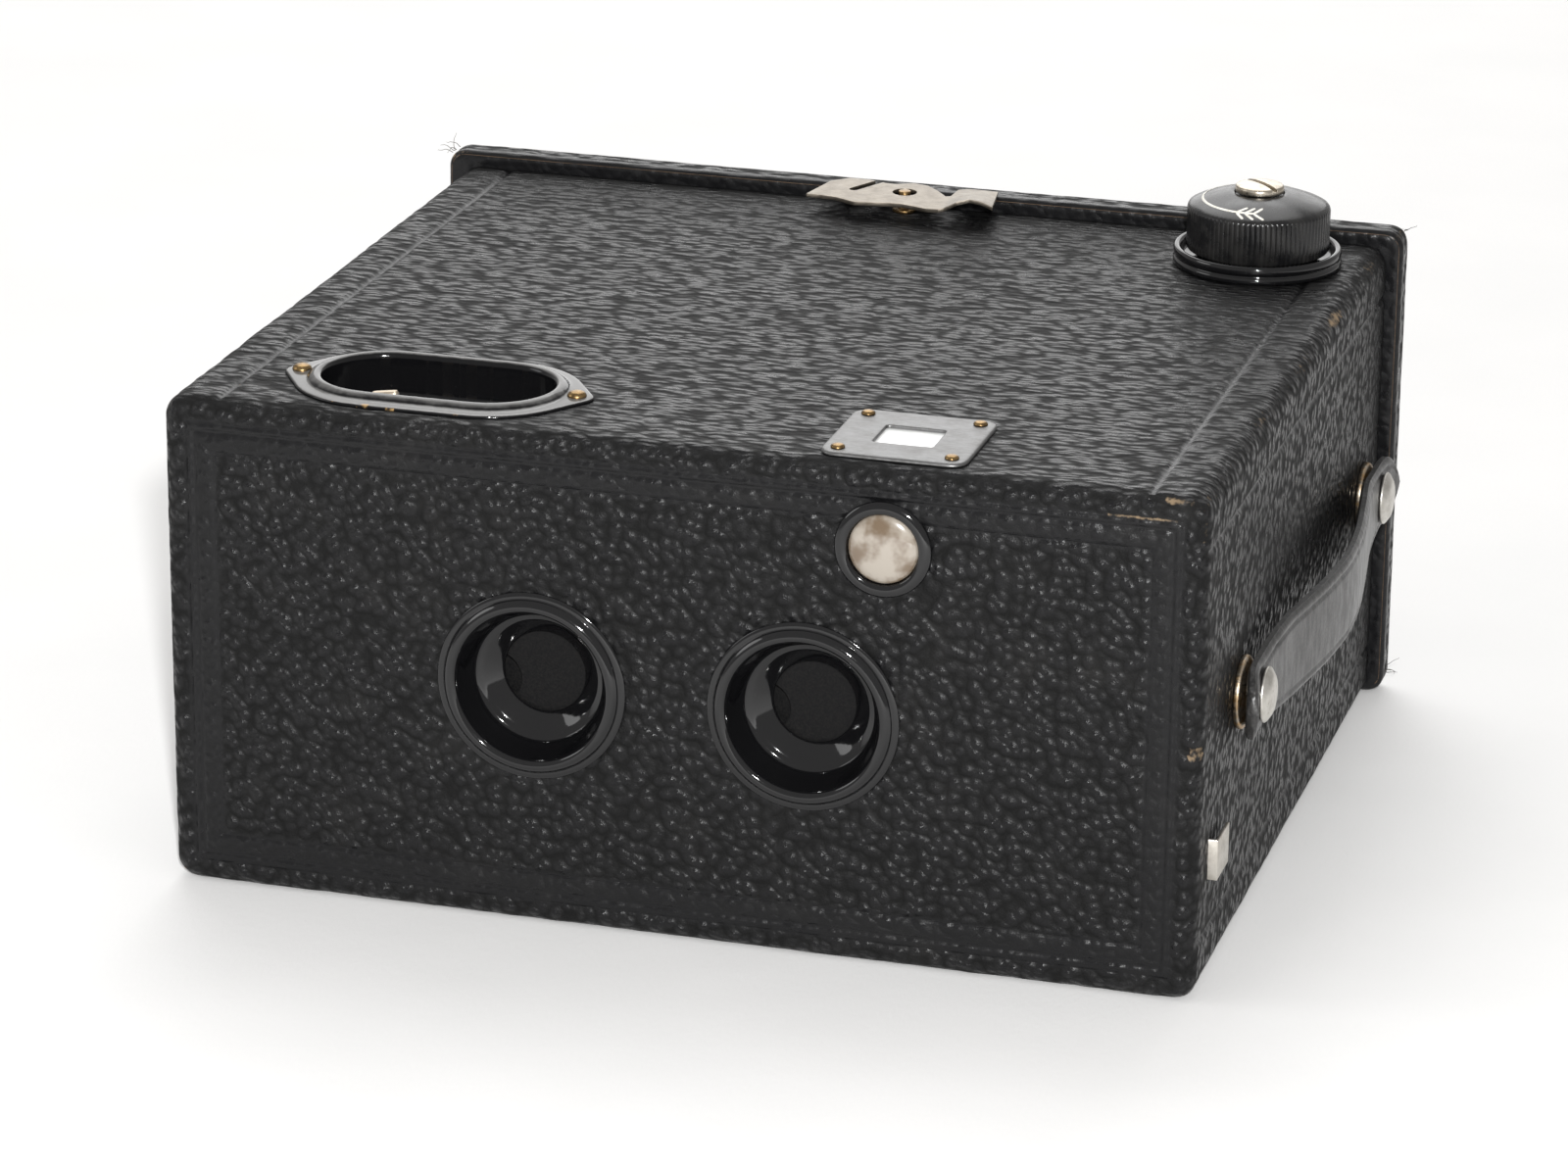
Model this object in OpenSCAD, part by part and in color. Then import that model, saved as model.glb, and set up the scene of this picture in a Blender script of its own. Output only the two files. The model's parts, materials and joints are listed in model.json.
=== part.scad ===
// Stereo box camera for roll film: two fixed lenses side by side in a covered wooden box.
// X runs to the right as seen from the front, Y runs back from the lenses, Z is up.
// The origin is the centre of the case's underside. All sizes are in millimetres.

/* [Film] */
// Length of a film spool over its ends
spool_len = 65.4; // [50:0.1:80]
// Diameter of a spool's flanges
spool_flange_d = 25; // [20:0.5:30]
// Diameter of a spool's core
spool_core_d = 11.8; // [9:0.1:15]
// Width of the film gate's opening, both pictures together
image_w = 82; // [68:1:100]
// Height of the film gate's opening
image_h = 57; // [47:1:58]
// Diameter of a film guide roller
roller_d = 4; // [3:0.1:5]

/* [Case] */
// Depth of the case from its front to the back cover
case_d = 132; // [110:1:160]
// Thickness of a wooden board
board_t = 4; // [3:0.1:5]
// Thickness of the leatherette covering
skin_t = 0.6; // [0.4:0.1:1]
// Radius of the case's long edges
corner_r = 3.5; // [2:0.1:5]
// Radius of the case's front edges
front_edge_r = 2.6; // [1.2:0.1:4]
// Width of the embossed border lines
line_w = 1; // [0.6:0.1:1.5]
// Distance of the embossed lines from the edges of the case's top and sides
line_inset = 8; // [6:0.5:10]
// Distance of the embossed frame from the edges of the case's front
front_line_inset = 4.4; // [4:0.1:8]

/* [Lenses and shutter] */
// Distance between the two lens axes
lens_sep = 41; // [36:0.5:46]
// Sideways place of the middle between the lenses
lens_mid_x = -0.7; // [-3:0.1:3]
// Height of the lens axes
lens_z = 37.4; // [34:0.1:42]
// Diameter of a lens
lens_d = 14.6; // [12:0.1:16]
// Diameter of the fixed stop behind each shutter blade
stop_d = 7; // [5:0.1:8]
// Outer diameter of a lens eyelet's flange
eyelet_d = 28.7; // [26:0.1:30]
// Diameter of a lens eyelet's rolled rim
eyelet_rim_d = 25; // [22:0.1:27]
// Diameter of the opening at the bottom of a lens eyelet
eyelet_hole_d = 12.3; // [10:0.1:14]
// Depth of a lens eyelet behind the front
eyelet_depth = 6.4; // [5.6:0.1:6.6]
// Swing radius of a shutter blade's hole
blade_swing_r = 17; // [16:0.1:19]
// Length of a shutter blade's crank below its pivot
crank_r = 6; // [5:0.1:7]
// Blade turn for one degree of the release lever
blade_ratio = 3.4; // [3:0.1:3.6]
// Swing of the release lever to each side of its middle
lever_swing = 8; // [7:0.5:9]

/* [Finder] */
// Sideways place of the finder
finder_x = 31.3; // [28:0.1:36]
// Height of the finder's front lens
finder_z = 64; // [62:0.1:65]
// Diameter of the finder's front lens
finder_lens_d = 10.3; // [8:0.1:11]
// Width of the finder's top plate
finder_plate_w = 21.5; // [18:0.5:24]
// Depth of the finder's top plate
finder_plate_d = 21; // [17:0.5:21.5]
// Width of the finder's window
finder_window_w = 8.8; // [7:0.1:11]
// Depth of the finder's window
finder_window_d = 8; // [7:0.1:10]

/* [Release lever well] */
// Distance of the well's middle from the left side
well_from_side = 37; // [34:0.5:42]
// Distance of the well's middle from the front
well_from_front = 16.7; // [16:0.1:22]
// Length of the well's opening
well_l = 35; // [32:0.5:38]
// Width of the well's opening
well_w = 18.6; // [14:0.1:20]
// Depth of the well below the top
well_depth = 6; // [5:0.1:7]
// Distance between the well's two fixing pins
well_pin_gap = 42.6; // [41:0.1:48]

/* [Winding knob] */
// Diameter of the winding knob
knob_d = 22.5; // [20:0.5:26]
// Height of the knob's gripping side
knob_side_h = 7.1; // [6:0.1:9]
// Height of the knob's domed top
knob_dome_h = 2.5; // [2:0.1:5]
// Gap between the case's top and the knob's lower edge
knob_gap = 2.4; // [1.8:0.1:4]
// Diameter of the winding shaft
shaft_d = 4; // [3:0.1:5]
// Travel of the knob when it is pulled up to free the spool
knob_lift = 8; // [6:0.5:8]

/* [Back cover] */
// Overhang of the back cover at the sides and the top
cover_overhang = 2.5; // [1:0.1:4]
// Thickness of the back cover with its covering
cover_t = 5.2; // [4.5:0.1:7]
// Diameter of the red window
ruby_d = 12; // [8:0.5:16]
// Height of the red window above the underside
ruby_z = 38; // [30:1:50]

/* [Strap] */
// Width of the strap at its ends
strap_w = 11; // [9:0.5:13]
// Width of the strap in its middle
strap_mid_w = 13.5; // [11:0.5:15]
// Thickness of the strap
strap_t = 1.7; // [1.5:0.1:3]
// Outward bow of the strap in its middle
strap_bow = 4.2; // [2.6:0.1:5]
// Height of the strap's middle line
strap_z = 38.6; // [34:0.1:42]
// Distance of the front stud from the case's front
stud_from_front = 26; // [22:0.5:30]
// Distance of the back stud from the back cover
stud_from_back = 13.5; // [13:0.5:18]

/* [Fits] */
// Radial clearance of a shaft in its bore
run_gap = 0.05; // [0.02:0.01:0.08]
// Gap between neighbouring moving pieces
move_gap = 0.1; // [0.05:0.01:0.15]
// Play of a piece that drops into its place
seat_gap = 0.2; // [0.1:0.05:0.3]

/* [Hidden] */
$fn = 96;
eps = 0.01;

// Colours
black_skin = [0.09, 0.09, 0.1];
wood = [0.55, 0.42, 0.28];
black_tin = [0.12, 0.12, 0.13];
nickel = [0.72, 0.7, 0.66];
brass = [0.72, 0.55, 0.28];
clear_glass = [0.75, 0.85, 0.85];

// Case: its width and height follow from the spools, the gate and the boards
wall = board_t + skin_t;
spool_side_gap = 0.9;
spool_end_gap = 0.7;
roller_r = roller_d / 2;
roller_gap = 0.5;
gate_stile = 3;
gate_half = image_w / 2 + gate_stile;
roller_x = gate_half + roller_gap + roller_r;
spool_r = spool_flange_d / 2;
spool_roller_gap = 0.7;
film_y_gap = 6;
film_y = case_d / 2 - film_y_gap;
roller_y = film_y - roller_r;
spool_y_gap = 2.5;
spool_y = case_d / 2 - spool_y_gap - spool_r;
spool_reach = spool_r + roller_r + spool_roller_gap;
spool_step = 0.05;
spool_x = spool_step
    * ceil((roller_x + sqrt(pow(spool_reach, 2) - pow(roller_y - spool_y, 2))) / spool_step);
inner_x = spool_x + spool_r + spool_side_gap;
case_w = 2 * (inner_x + wall);
inner_z0 = wall;
inner_z1 = wall + spool_len + 2 * spool_end_gap;
case_h = inner_z1 + wall;
front_y = -case_d / 2;
back_y = case_d / 2;
board_front_y = front_y + skin_t;
board_rear_y = board_front_y + board_t;
wrap_y = front_y + front_edge_r;
line_depth = 0.25;
eyelet_mouth_r = eyelet_rim_d / 2 - 0.2;

// Shutter stack, counted back from the eyelets
sheet_t = 0.5;
blade_y0 = front_y + eyelet_depth + 4 * move_gap;
blade_y1 = blade_y0 + sheet_t;
link_y0 = blade_y1 + 3 * move_gap;
link_y1 = link_y0 + sheet_t;
lever_y0 = link_y1 + move_gap;
lever_y1 = lever_y0 + sheet_t;
plate_y0 = lever_y1 + move_gap;
plate_t = 0.6;
lens_board_y0 = plate_y0 + plate_t;
lens_board_y1 = lens_board_y0 + board_t;
lens_t = 2;
lens_cell_wall = 0.9;

// Lens axes and shutter pivots
left_x = lens_mid_x - lens_sep / 2;
right_x = lens_mid_x + lens_sep / 2;
blade_z = lens_z - blade_swing_r;
blade_rest = -lever_swing * blade_ratio;
blade_hole_r = stop_d / 2 + 0.5;
blade_r = blade_swing_r + eyelet_hole_d / 2 + 1;
blade_half_angle = lever_swing * blade_ratio + asin(eyelet_hole_d / 2 / blade_swing_r) + 2;
pivot_r = 1.25;
hub_r = 4;
crank_pin_r = 0.9;
link_half = 2.4;
lever_x = -case_w / 2 + well_from_side;
lever_arm = crank_r * sin(lever_swing * blade_ratio) / sin(lever_swing);
lever_z = blade_z - crank_r + lever_arm;
lever_pin_r = 1;
lever_slot_gap = 0.2;
lever_w = 4.2;
link_x = crank_r * sin(-blade_rest);
link_z = blade_z - crank_r * cos(blade_rest);

// Release lever well
well_y = front_y + well_from_front;
well_t = 0.5;
well_rim = 4.2;
well_floor_z = case_h - well_depth;
tab_gap = 2.4;
tab_y0 = well_y - well_w / 2 + tab_gap;
tab_y1 = tab_y0 + sheet_t;
tab_top_z = case_h + 0.6;
bend_z = well_floor_z - 7;

// Finder
finder_rim_d = finder_lens_d + 4;
finder_y = front_y + 13.4;
finder_box_w = finder_window_w + 8;
finder_glass_t = 1.4;
finder_glass_edge = 1.7;
finder_ledge_z = case_h - 0.2 - finder_glass_t;
plate_pin_inset = 2.4;
finder_plate_t = 0.7;
pin_r = 0.6;
finder_pin_head_r = 1.1;
well_pin_head_r = 1.5;
finder_low = finder_z - 7;
finder_foot = finder_y - 5;
finder_slope = inner_z1 - finder_low;
finder_hole_r = finder_lens_d / 2 + 0.5;

// Light box between the lens board and the film gate
light_wall_t = 1.5;
light_front_x = lens_sep / 2 + lens_d / 2 + 4;
gate_t = 3.7;
gate_y1 = film_y - 0.3;
gate_y0 = gate_y1 - gate_t;
strip_t = spool_end_gap - move_gap;
trunnion_r = 0.75;
roller_end_gap = 0.15;
trunnion_end_gap = 0.05;
light_front_top = lens_z + lens_d / 2 + 5;
light_rear_top = (case_h + image_h) / 2 + 1;
partition_y1 = spool_y - spool_r - 1;
function light_x(y) = light_front_x
    + (gate_half - light_wall_t - light_front_x) * (y - lens_board_y1) / (gate_y0 - lens_board_y1);
function light_top(y) = light_front_top
    + (light_rear_top - light_front_top) * (y - lens_board_y1) / (gate_y0 - lens_board_y1);

// Spools and winding
spool_z0 = inner_z0 + spool_end_gap;
spool_z1 = inner_z1 - spool_end_gap;
spool_flange_t = 1;
spool_pivot_base_r = 5;
pivot_pin_r = 2.8;
pivot_gap = 0.08;
pivot_depth = 4;
key_w = 6.6;
key_t = 1.4;
key_slot_depth = 5;
key_z0 = spool_z1 - key_slot_depth + 0.5;
key_z1 = spool_z1 + move_gap;
bush_head_t = 4;
bush_r = 5;
bush_top = key_z1 + knob_lift + seat_gap + bush_head_t;
flange_d = knob_d + 4.1;
flange_rim_h = 3;
flange_t = 0.8;
knob_z0 = case_h + knob_gap;
knob_z1 = knob_z0 + knob_side_h;
washer_t = 0.6;
knob_hollow_z = bush_top + washer_t + move_gap;
screw_head_d = 7.7;
screw_head_h = 1.6;
screw_z = knob_z1 + knob_dome_h - 0.4;

// Back cover and its hinge
cover_gap = 0.3;
cover_y0 = back_y + cover_gap;
cover_y1 = cover_y0 + cover_t;
cover_w = case_w + 2 * cover_overhang;
cover_top = case_h + cover_overhang;
cover_bottom = 0.3;
cover_edge_r = 1.6;
hinge_z = 1.7;
hinge_y = cover_y0 + cover_t / 2;
knuckle_r = 1.4;
hinge_pin_r = 0.6;
knuckle_l = 12;
knuckle_n = 8;
hinge_half = knuckle_l * knuckle_n / 2;
leaf_t = 0.8;
leaf_l = 8;
notch_z = hinge_z + knuckle_r + 0.3;
lip_d = 2.2;
lip_t = 1;
lip_gap = 0.6;
plate_w = image_w + 2;
plate_h = image_h + 4;
pressure_y0 = film_y + 0.6;

// Latch
latch_t = 0.6;
latch_z = cover_top + 0.1;
latch_left = -16;
latch_right = 14.9;
latch_tab_x = latch_right - 7.6;
latch_y0 = back_y - 9.6;
latch_y1 = back_y + 3.8;
latch_hole_r = 2;
post_x = -0.7;
post_y = back_y - 3.6;
post_r = 1;

// Strap
stud_y_front = front_y + stud_from_front;
stud_y_back = back_y - stud_from_back;
washer_d = 10.9;
strap_washer_t = 1.6;
stud_head_d = 8.3;
stud_r = 1.6;
strap_tail = 9;
strap_flare = 1.2;
strap_x = case_w / 2 + strap_washer_t;
strap_head_gap = 0.3;

// Time slide
slide_z = 19.5;
slide_h = 6.2;
slide_face = 7.6;
slide_out = 1.4;
slide_in = 26;

// ---- helpers -------------------------------------------------------------------------------

// Box between two opposite corners
module block(lo, hi) {
    translate(lo) cube(hi - lo);
}

// Round bar along X, Y or Z from one coordinate to another
module rod_x(r, x0, x1) {
    translate([x0, 0, 0]) rotate([0, 90, 0]) cylinder(r = r, h = x1 - x0);
}
module rod_y(r, y0, y1) {
    translate([0, y0, 0]) rotate([-90, 0, 0]) cylinder(r = r, h = y1 - y0);
}
module rod_z(r, z0, z1) {
    translate([0, 0, z0]) cylinder(r = r, h = z1 - z0);
}

// Outline in X and Z, extruded along Y
module along_y(y0, y1) {
    translate([0, y1, 0]) rotate([90, 0, 0]) linear_extrude(y1 - y0) children();
}

// Outline in Y and Z, extruded along X
module along_x(x0, x1) {
    translate([x0, 0, 0]) rotate([90, 0, 90]) linear_extrude(x1 - x0) children();
}

// Outline in X and Y, extruded along Z
module along_z(z0, z1) {
    translate([0, 0, z0]) linear_extrude(z1 - z0) children();
}

// Profile of radius and depth, turned about an axis that runs back along Y
module turned_y() {
    rotate([-90, 0, 0]) rotate_extrude() children();
}

// Round disc along Z with a domed top
module domed_disc(r, base, rise) {
    ball_r = (pow(r, 2) + pow(rise, 2)) / (2 * rise);
    rotate_extrude() {
        square([r, base]);
        intersection() {
            translate([0, base + rise - ball_r]) circle(r = ball_r);
            square([r, base + rise]);
        }
    }
}

// Rectangle with round corners, about the origin
module round_rect(w, h, r) {
    square([w - 2 * r, h], center = true);
    square([w, h - 2 * r], center = true);
    for (sx = [-1, 1], sy = [-1, 1])
        translate([sx * (w / 2 - r), sy * (h / 2 - r)]) circle(r = r);
}

// Bar with round ends along X, about the origin
module stadium(l, w) {
    square([l - w, w], center = true);
    for (s = [-1, 1]) translate([s * (l - w) / 2, 0]) circle(d = w);
}

// Turned by an angle about an axis along Y
module swung(x, z, a) {
    translate([x, 0, z]) rotate([0, a, 0]) children();
}

// The case's cross-section, drawn in from the outside by an inset
module case_section(inset) {
    translate([0, case_h / 2])
        round_rect(case_w - 2 * inset, case_h - 2 * inset, corner_r - inset);
}

// The whole case with its front edges rounded too, drawn in from the outside by an inset
module case_solid(inset) {
    y0 = front_y + inset;
    r = front_edge_r - inset;
    half_w = case_w / 2 - inset;
    half_h = case_h / 2 - inset;
    intersection() {
        along_y(y0, back_y) case_section(inset);
        along_z(-1, case_h + 1) round_front(half_w, y0, r);
        translate([0, 0, case_h / 2]) along_x(-case_w, case_w)
            mirror([-1, 1]) round_front(half_h, y0, r);
    }
}

// Outline from the front to the back cover with its two front corners rounded
module round_front(half, y0, r) {
    translate([-half, y0 + r]) square([2 * half, back_y - y0 - r]);
    translate([-half + r, y0]) square([2 * half - 2 * r, r + eps]);
    for (s = [-1, 1]) translate([s * (half - r), y0 + r]) circle(r = r);
}

// ---- openings shared by the boards and the covering ------------------------------------------

module lens_holes(y0, y1, r) {
    for (x = [left_x, right_x]) translate([x, 0, lens_z]) rod_y(r, y0, y1);
}
module finder_front_hole(y0, y1) {
    translate([finder_x, 0, finder_z]) rod_y(finder_hole_r, y0, y1);
}
module well_cut(z0, z1) {
    translate([lever_x, well_y, 0]) along_z(z0, z1)
        stadium(well_l + 2 * well_t + 2 * seat_gap, well_w + 2 * well_t + 2 * seat_gap);
}
module finder_top_cut(z0, z1, w, d) {
    block([finder_x - w / 2, finder_y - d / 2, z0], [finder_x + w / 2, finder_y + d / 2, z1]);
}
module finder_glass_seat(z0, z1) {
    edge = finder_glass_edge + seat_gap;
    finder_top_cut(z0, z1, finder_window_w + 2 * edge, finder_window_d + 2 * edge);
}
module knob_cut(z0, z1) {
    translate([spool_x, spool_y, 0]) rod_z(bush_r, z0, z1);
}
module post_cut(z0, z1) {
    translate([post_x, post_y, 0]) rod_z(post_r, z0, z1);
}
module pin_cuts(z0, z1) {
    at_finder_pins() rod_z(pin_r, z0, z1);
    at_well_pins() rod_z(pin_r, z0, z1);
}
module slide_cut(x0, x1) {
    block([x0, link_y1 - sheet_t - seat_gap, slide_z - slide_h / 2 - seat_gap],
        [x1, link_y1 + seat_gap, slide_z + slide_h / 2 + seat_gap]);
}
module stud_cuts(x0, x1) {
    for (y = [stud_y_front, stud_y_back]) translate([0, y, strap_z]) rod_x(stud_r, x0, x1);
}

// ---- wooden case ----------------------------------------------------------------------------

module front_board() {
    color(wood) difference() {
        intersection() {
            case_solid(skin_t);
            block([-case_w, front_y, -1], [case_w, board_rear_y, case_h + 1]);
        }
        lens_holes(front_y, board_rear_y + 1, eyelet_mouth_r);
        finder_front_hole(front_y, board_rear_y + 1);
    }
}

module top_board() {
    color(wood) difference() {
        intersection() {
            along_y(board_rear_y, back_y) case_section(skin_t);
            block([-case_w, front_y, inner_z1], [case_w, back_y, case_h]);
        }
        well_cut(inner_z1 - 1, case_h);
        finder_top_cut(inner_z1 - 1, case_h, finder_window_w + 1.4, finder_window_d + 1.4);
        finder_glass_seat(finder_ledge_z, case_h);
        knob_cut(inner_z1 - 1, case_h);
        post_cut(inner_z1 + 1, case_h);
        pin_cuts(inner_z1 + 1, case_h);
    }
}

module bottom_board() {
    color(wood) difference() {
        intersection() {
            along_y(board_rear_y, back_y) case_section(skin_t);
            block([-case_w, front_y, 0], [case_w, back_y, inner_z0]);
        }
        block([-hinge_half - seat_gap, back_y - leaf_l - seat_gap, hinge_z - leaf_t / 2 - 0.05],
            [hinge_half + seat_gap, back_y + 1, hinge_z + leaf_t / 2 + 0.05]);
    }
}

module side_board(x0, x1) {
    block([x0, board_rear_y, inner_z0], [x1, back_y, inner_z1]);
}

module left_board() {
    color(wood) side_board(-inner_x - board_t, -inner_x);
}

module right_board() {
    color(wood) difference() {
        side_board(inner_x, inner_x + board_t);
        slide_cut(inner_x - 1, case_w / 2);
        stud_cuts(inner_x - 1, case_w / 2);
    }
}

// ---- covering -------------------------------------------------------------------------------

module front_leatherette() {
    color(black_skin) difference() {
        intersection() {
            case_solid(0);
            block([-case_w, front_y - 1, -1], [case_w, wrap_y, case_h + 1]);
        }
        case_solid(skin_t);
        lens_holes(front_y - 1, board_front_y + 1, eyelet_mouth_r);
        finder_front_hole(front_y - 1, board_front_y + 1);
        along_y(front_y - 1, front_y + line_depth) translate([0, case_h / 2]) difference() {
            square([case_w - 2 * front_line_inset, case_h - 2 * front_line_inset], center = true);
            square([case_w - 2 * front_line_inset - 2 * line_w,
                case_h - 2 * front_line_inset - 2 * line_w], center = true);
        }
    }
}

module body_leatherette() {
    color(black_skin) difference() {
        along_y(wrap_y, back_y) difference() {
            case_section(0);
            case_section(skin_t);
            translate([-case_w / 2 + corner_r, -1]) square([case_w - 2 * corner_r, skin_t + 1]);
        }
        well_cut(case_h - 1, case_h + 1);
        finder_glass_seat(case_h - 1, case_h + 1);
        knob_cut(case_h - 1, case_h + 1);
        post_cut(case_h - 1, case_h + 1);
        pin_cuts(case_h - 1, case_h + 1);
        slide_cut(case_w / 2 - 1, case_w / 2 + 1);
        stud_cuts(case_w / 2 - 1, case_w / 2 + 1);
        for (s = [-1, 1])
            translate([s * (case_w / 2 - line_inset), 0, 0])
                block([-line_w / 2, front_y, case_h - line_depth],
                    [line_w / 2, back_y + 1, case_h + 1]);
        for (s = [-1, 1], z = [line_inset, case_h - line_inset])
            translate([s * case_w / 2, 0, z])
                block([-line_depth, front_y, -line_w / 2], [line_depth, back_y + 1, line_w / 2]);
    }
}

module bottom_leatherette() {
    color(black_skin)
        block([-case_w / 2 + corner_r, wrap_y, 0], [case_w / 2 - corner_r, back_y, skin_t]);
}

// ---- lens eyelets ---------------------------------------------------------------------------

// A pressed eyelet: flange on the front, rolled rim, stepped bowl and a cone down to the hole
module lens_eyelet() {
    t = sheet_t;
    rim_r = eyelet_rim_d / 2;
    hole_r = eyelet_hole_d / 2;
    step_r = hole_r + 3.7;
    step_d = eyelet_depth / 2 + 0.4;
    ledge = 0.9;
    bead_r = 0.9;
    mouth_r = eyelet_mouth_r;
    turned_y() polygon([
        [eyelet_d / 2, 0], [eyelet_d / 2, -t], [mouth_r - 1.2, -t], [step_r, step_d],
        [step_r - ledge, step_d + 0.3], [hole_r, eyelet_depth - t], [hole_r, eyelet_depth],
        [hole_r + t, eyelet_depth], [step_r - ledge + t / 2, step_d + t + 0.3],
        [step_r + t / 2, step_d + t], [mouth_r - t / 2, 0]
    ]);
    turned_y() intersection() {
        translate([rim_r, -0.6]) circle(r = bead_r);
        translate([rim_r - 2, -2]) square([4, 1.9]);
    }
}
module left_lens_eyelet() {
    color(black_tin) translate([left_x, front_y, lens_z]) lens_eyelet();
}
module right_lens_eyelet() {
    color(black_tin) translate([right_x, front_y, lens_z]) lens_eyelet();
}

// ---- finder ---------------------------------------------------------------------------------

module finder_lens_rim() {
    hole_r = finder_lens_d / 2;
    color(black_tin) translate([finder_x, front_y, finder_z]) turned_y() {
        translate([hole_r + 0.4, -0.5]) square([finder_rim_d / 2 - hole_r - 0.4, 0.5]);
        difference() {
            translate([hole_r + 0.55, -0.45]) circle(r = 0.55);
            translate([hole_r + 0.5, 0]) square(1);
        }
        translate([hole_r, -0.4]) square([finder_hole_r - hole_r, wall + 0.4]);
    }
}

module finder_lens() {
    seat_d = 2.2;
    color(clear_glass) translate([finder_x, front_y + seat_d, finder_z]) rotate([90, 0, 0])
        domed_disc(finder_lens_d / 2, 2, 1.3);
}

// Side view of the finder's housing: a box with a sloping back behind the mirror
module finder_side(inset) {
    polygon([[board_rear_y + inset, finder_low + inset],
        [finder_foot - (sqrt(2) - 1) * inset, finder_low + inset],
        [finder_foot + finder_slope - sqrt(2) * inset, inner_z1],
        [board_rear_y + inset, inner_z1]]);
}

module finder_housing() {
    w = finder_box_w / 2;
    t = sheet_t;
    color(black_tin) difference() {
        translate([finder_x, 0, 0]) along_x(-w, w) finder_side(0);
        translate([finder_x, 0, 0]) along_x(-w + t, w - t) finder_side(t);
        finder_front_hole(board_rear_y - 1, board_rear_y + 1);
    }
}

module finder_mirror() {
    foot = finder_foot - (sqrt(2) - 1) * sheet_t;
    l = (finder_slope - sheet_t) * sqrt(2) - 2.2;
    w = finder_box_w / 2 - 1;
    color("lightsteelblue") translate([finder_x, foot, finder_low + sheet_t])
        rotate([45, 0, 0]) block([-w, 0.6, 0.05], [w, 0.6 + l, 1.05]);
}

module finder_glass() {
    w = finder_window_w + 2 * finder_glass_edge;
    d = finder_window_d + 2 * finder_glass_edge;
    color([0.95, 0.95, 0.92]) finder_top_cut(finder_ledge_z, case_h, w, d);
}

module finder_plate() {
    color(nickel) difference() {
        translate([finder_x, finder_y, 0]) along_z(case_h, case_h + finder_plate_t)
            round_rect(finder_plate_w, finder_plate_d, 2);
        finder_top_cut(case_h - 1, case_h + 1, finder_window_w, finder_window_d);
        pin_cuts(case_h - 1, case_h + 1);
    }
}

module at_finder_pins() {
    for (sx = [-1, 1], sy = [-1, 1])
        translate([finder_x + sx * (finder_plate_w / 2 - plate_pin_inset),
            finder_y + sy * (finder_plate_d / 2 - plate_pin_inset), 0]) children();
}
module at_well_pins() {
    for (s = [-1, 1]) translate([lever_x + s * well_pin_gap / 2, well_y, 0]) children();
}

// Domed pins that hold the finder's plate and the well's rim
module domed_pin(z, head_r) {
    translate([0, 0, z]) domed_disc(head_r, 0.2, head_r / 2 - 0.2);
    rod_z(pin_r, inner_z1 + 1, z + eps);
}
module escutcheon_pins() {
    color(brass) {
        at_finder_pins() domed_pin(case_h + finder_plate_t, finder_pin_head_r);
        at_well_pins() domed_pin(case_h + well_t, well_pin_head_r);
    }
}

// ---- release lever and its well ----------------------------------------------------------------

module lever_well() {
    rim_w = 2;
    rim_h = 1.4;
    plate_l = well_pin_gap + 6.4;
    color(black_tin) difference() {
        translate([lever_x, well_y, 0]) {
            along_z(case_h, case_h + well_t) stadium(plate_l, well_w + 2 * well_rim);
            along_z(case_h, case_h + rim_h) stadium(well_l + 2 * rim_w, well_w + 2 * rim_w);
            along_z(well_floor_z, case_h + eps) stadium(well_l + 2 * well_t, well_w + 2 * well_t);
        }
        translate([lever_x, well_y, 0])
            along_z(well_floor_z + well_t, case_h + 2) stadium(well_l, well_w);
        lever_slot(well_floor_z - 1, well_floor_z + 1);
        pin_cuts(case_h - 1, case_h + 1);
    }
}

// Slot in the well's floor that the lever's tab swings in
module lever_slot(z0, z1) {
    reach = (well_floor_z - lever_z) * tan(lever_swing) + lever_w / 2 + 1.2;
    block([lever_x - reach, tab_y0 - 0.3, z0], [lever_x + reach, tab_y1 + 0.3, z1]);
}

module release_lever() {
    low = lever_arm + 2.2;
    up = bend_z - lever_z;
    half = lever_w / 2;
    color(nickel) swung(lever_x, lever_z, -lever_swing) difference() {
        union() {
            along_y(lever_y0, lever_y1) {
                translate([-half, -low]) square([lever_w, low + up]);
                circle(r = hub_r);
            }
            block([-half, lever_y0, up - sheet_t], [half, tab_y1, up]);
            block([-half, tab_y0, up - sheet_t], [half, tab_y1, tab_top_z - lever_z]);
            translate([0, 0, -lever_arm]) rod_y(lever_pin_r, link_y0 - move_gap, lever_y0 + eps);
        }
        rod_y(pivot_r + run_gap, lever_y0 - 1, lever_y1 + 1);
    }
}

// Wound wire spring around the lever's pivot, with one leg on the plate and one on the lever
module lever_spring() {
    wire_r = 0.25;
    coil_r = pivot_r + 1.2;
    y = lever_y0 - wire_r - 0.05;
    color(brass) translate([lever_x, y, lever_z]) {
        turned_y() translate([coil_r, 0]) circle(r = wire_r);
        for (a = [150, 205]) rotate([0, a, 0]) translate([coil_r, 0, 0]) rod_z(wire_r, 0, 9);
    }
}

// ---- shutter --------------------------------------------------------------------------------

module shutter_plate() {
    left = lever_x - 7;
    right = right_x + 18;
    color(black_tin) difference() {
        block([left, plate_y0, 8], [right, plate_y0 + plate_t, lens_z + 15]);
        lens_holes(plate_y0 - 1, lens_board_y0 + 1, stop_d / 2);
        at_shutter_pivots() rod_y(pivot_r, plate_y0 - 1, lens_board_y0 + 1);
    }
}

module at_shutter_pivots() {
    for (x = [left_x, right_x]) translate([x, 0, blade_z]) children();
    translate([lever_x, 0, lever_z]) children();
}

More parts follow.
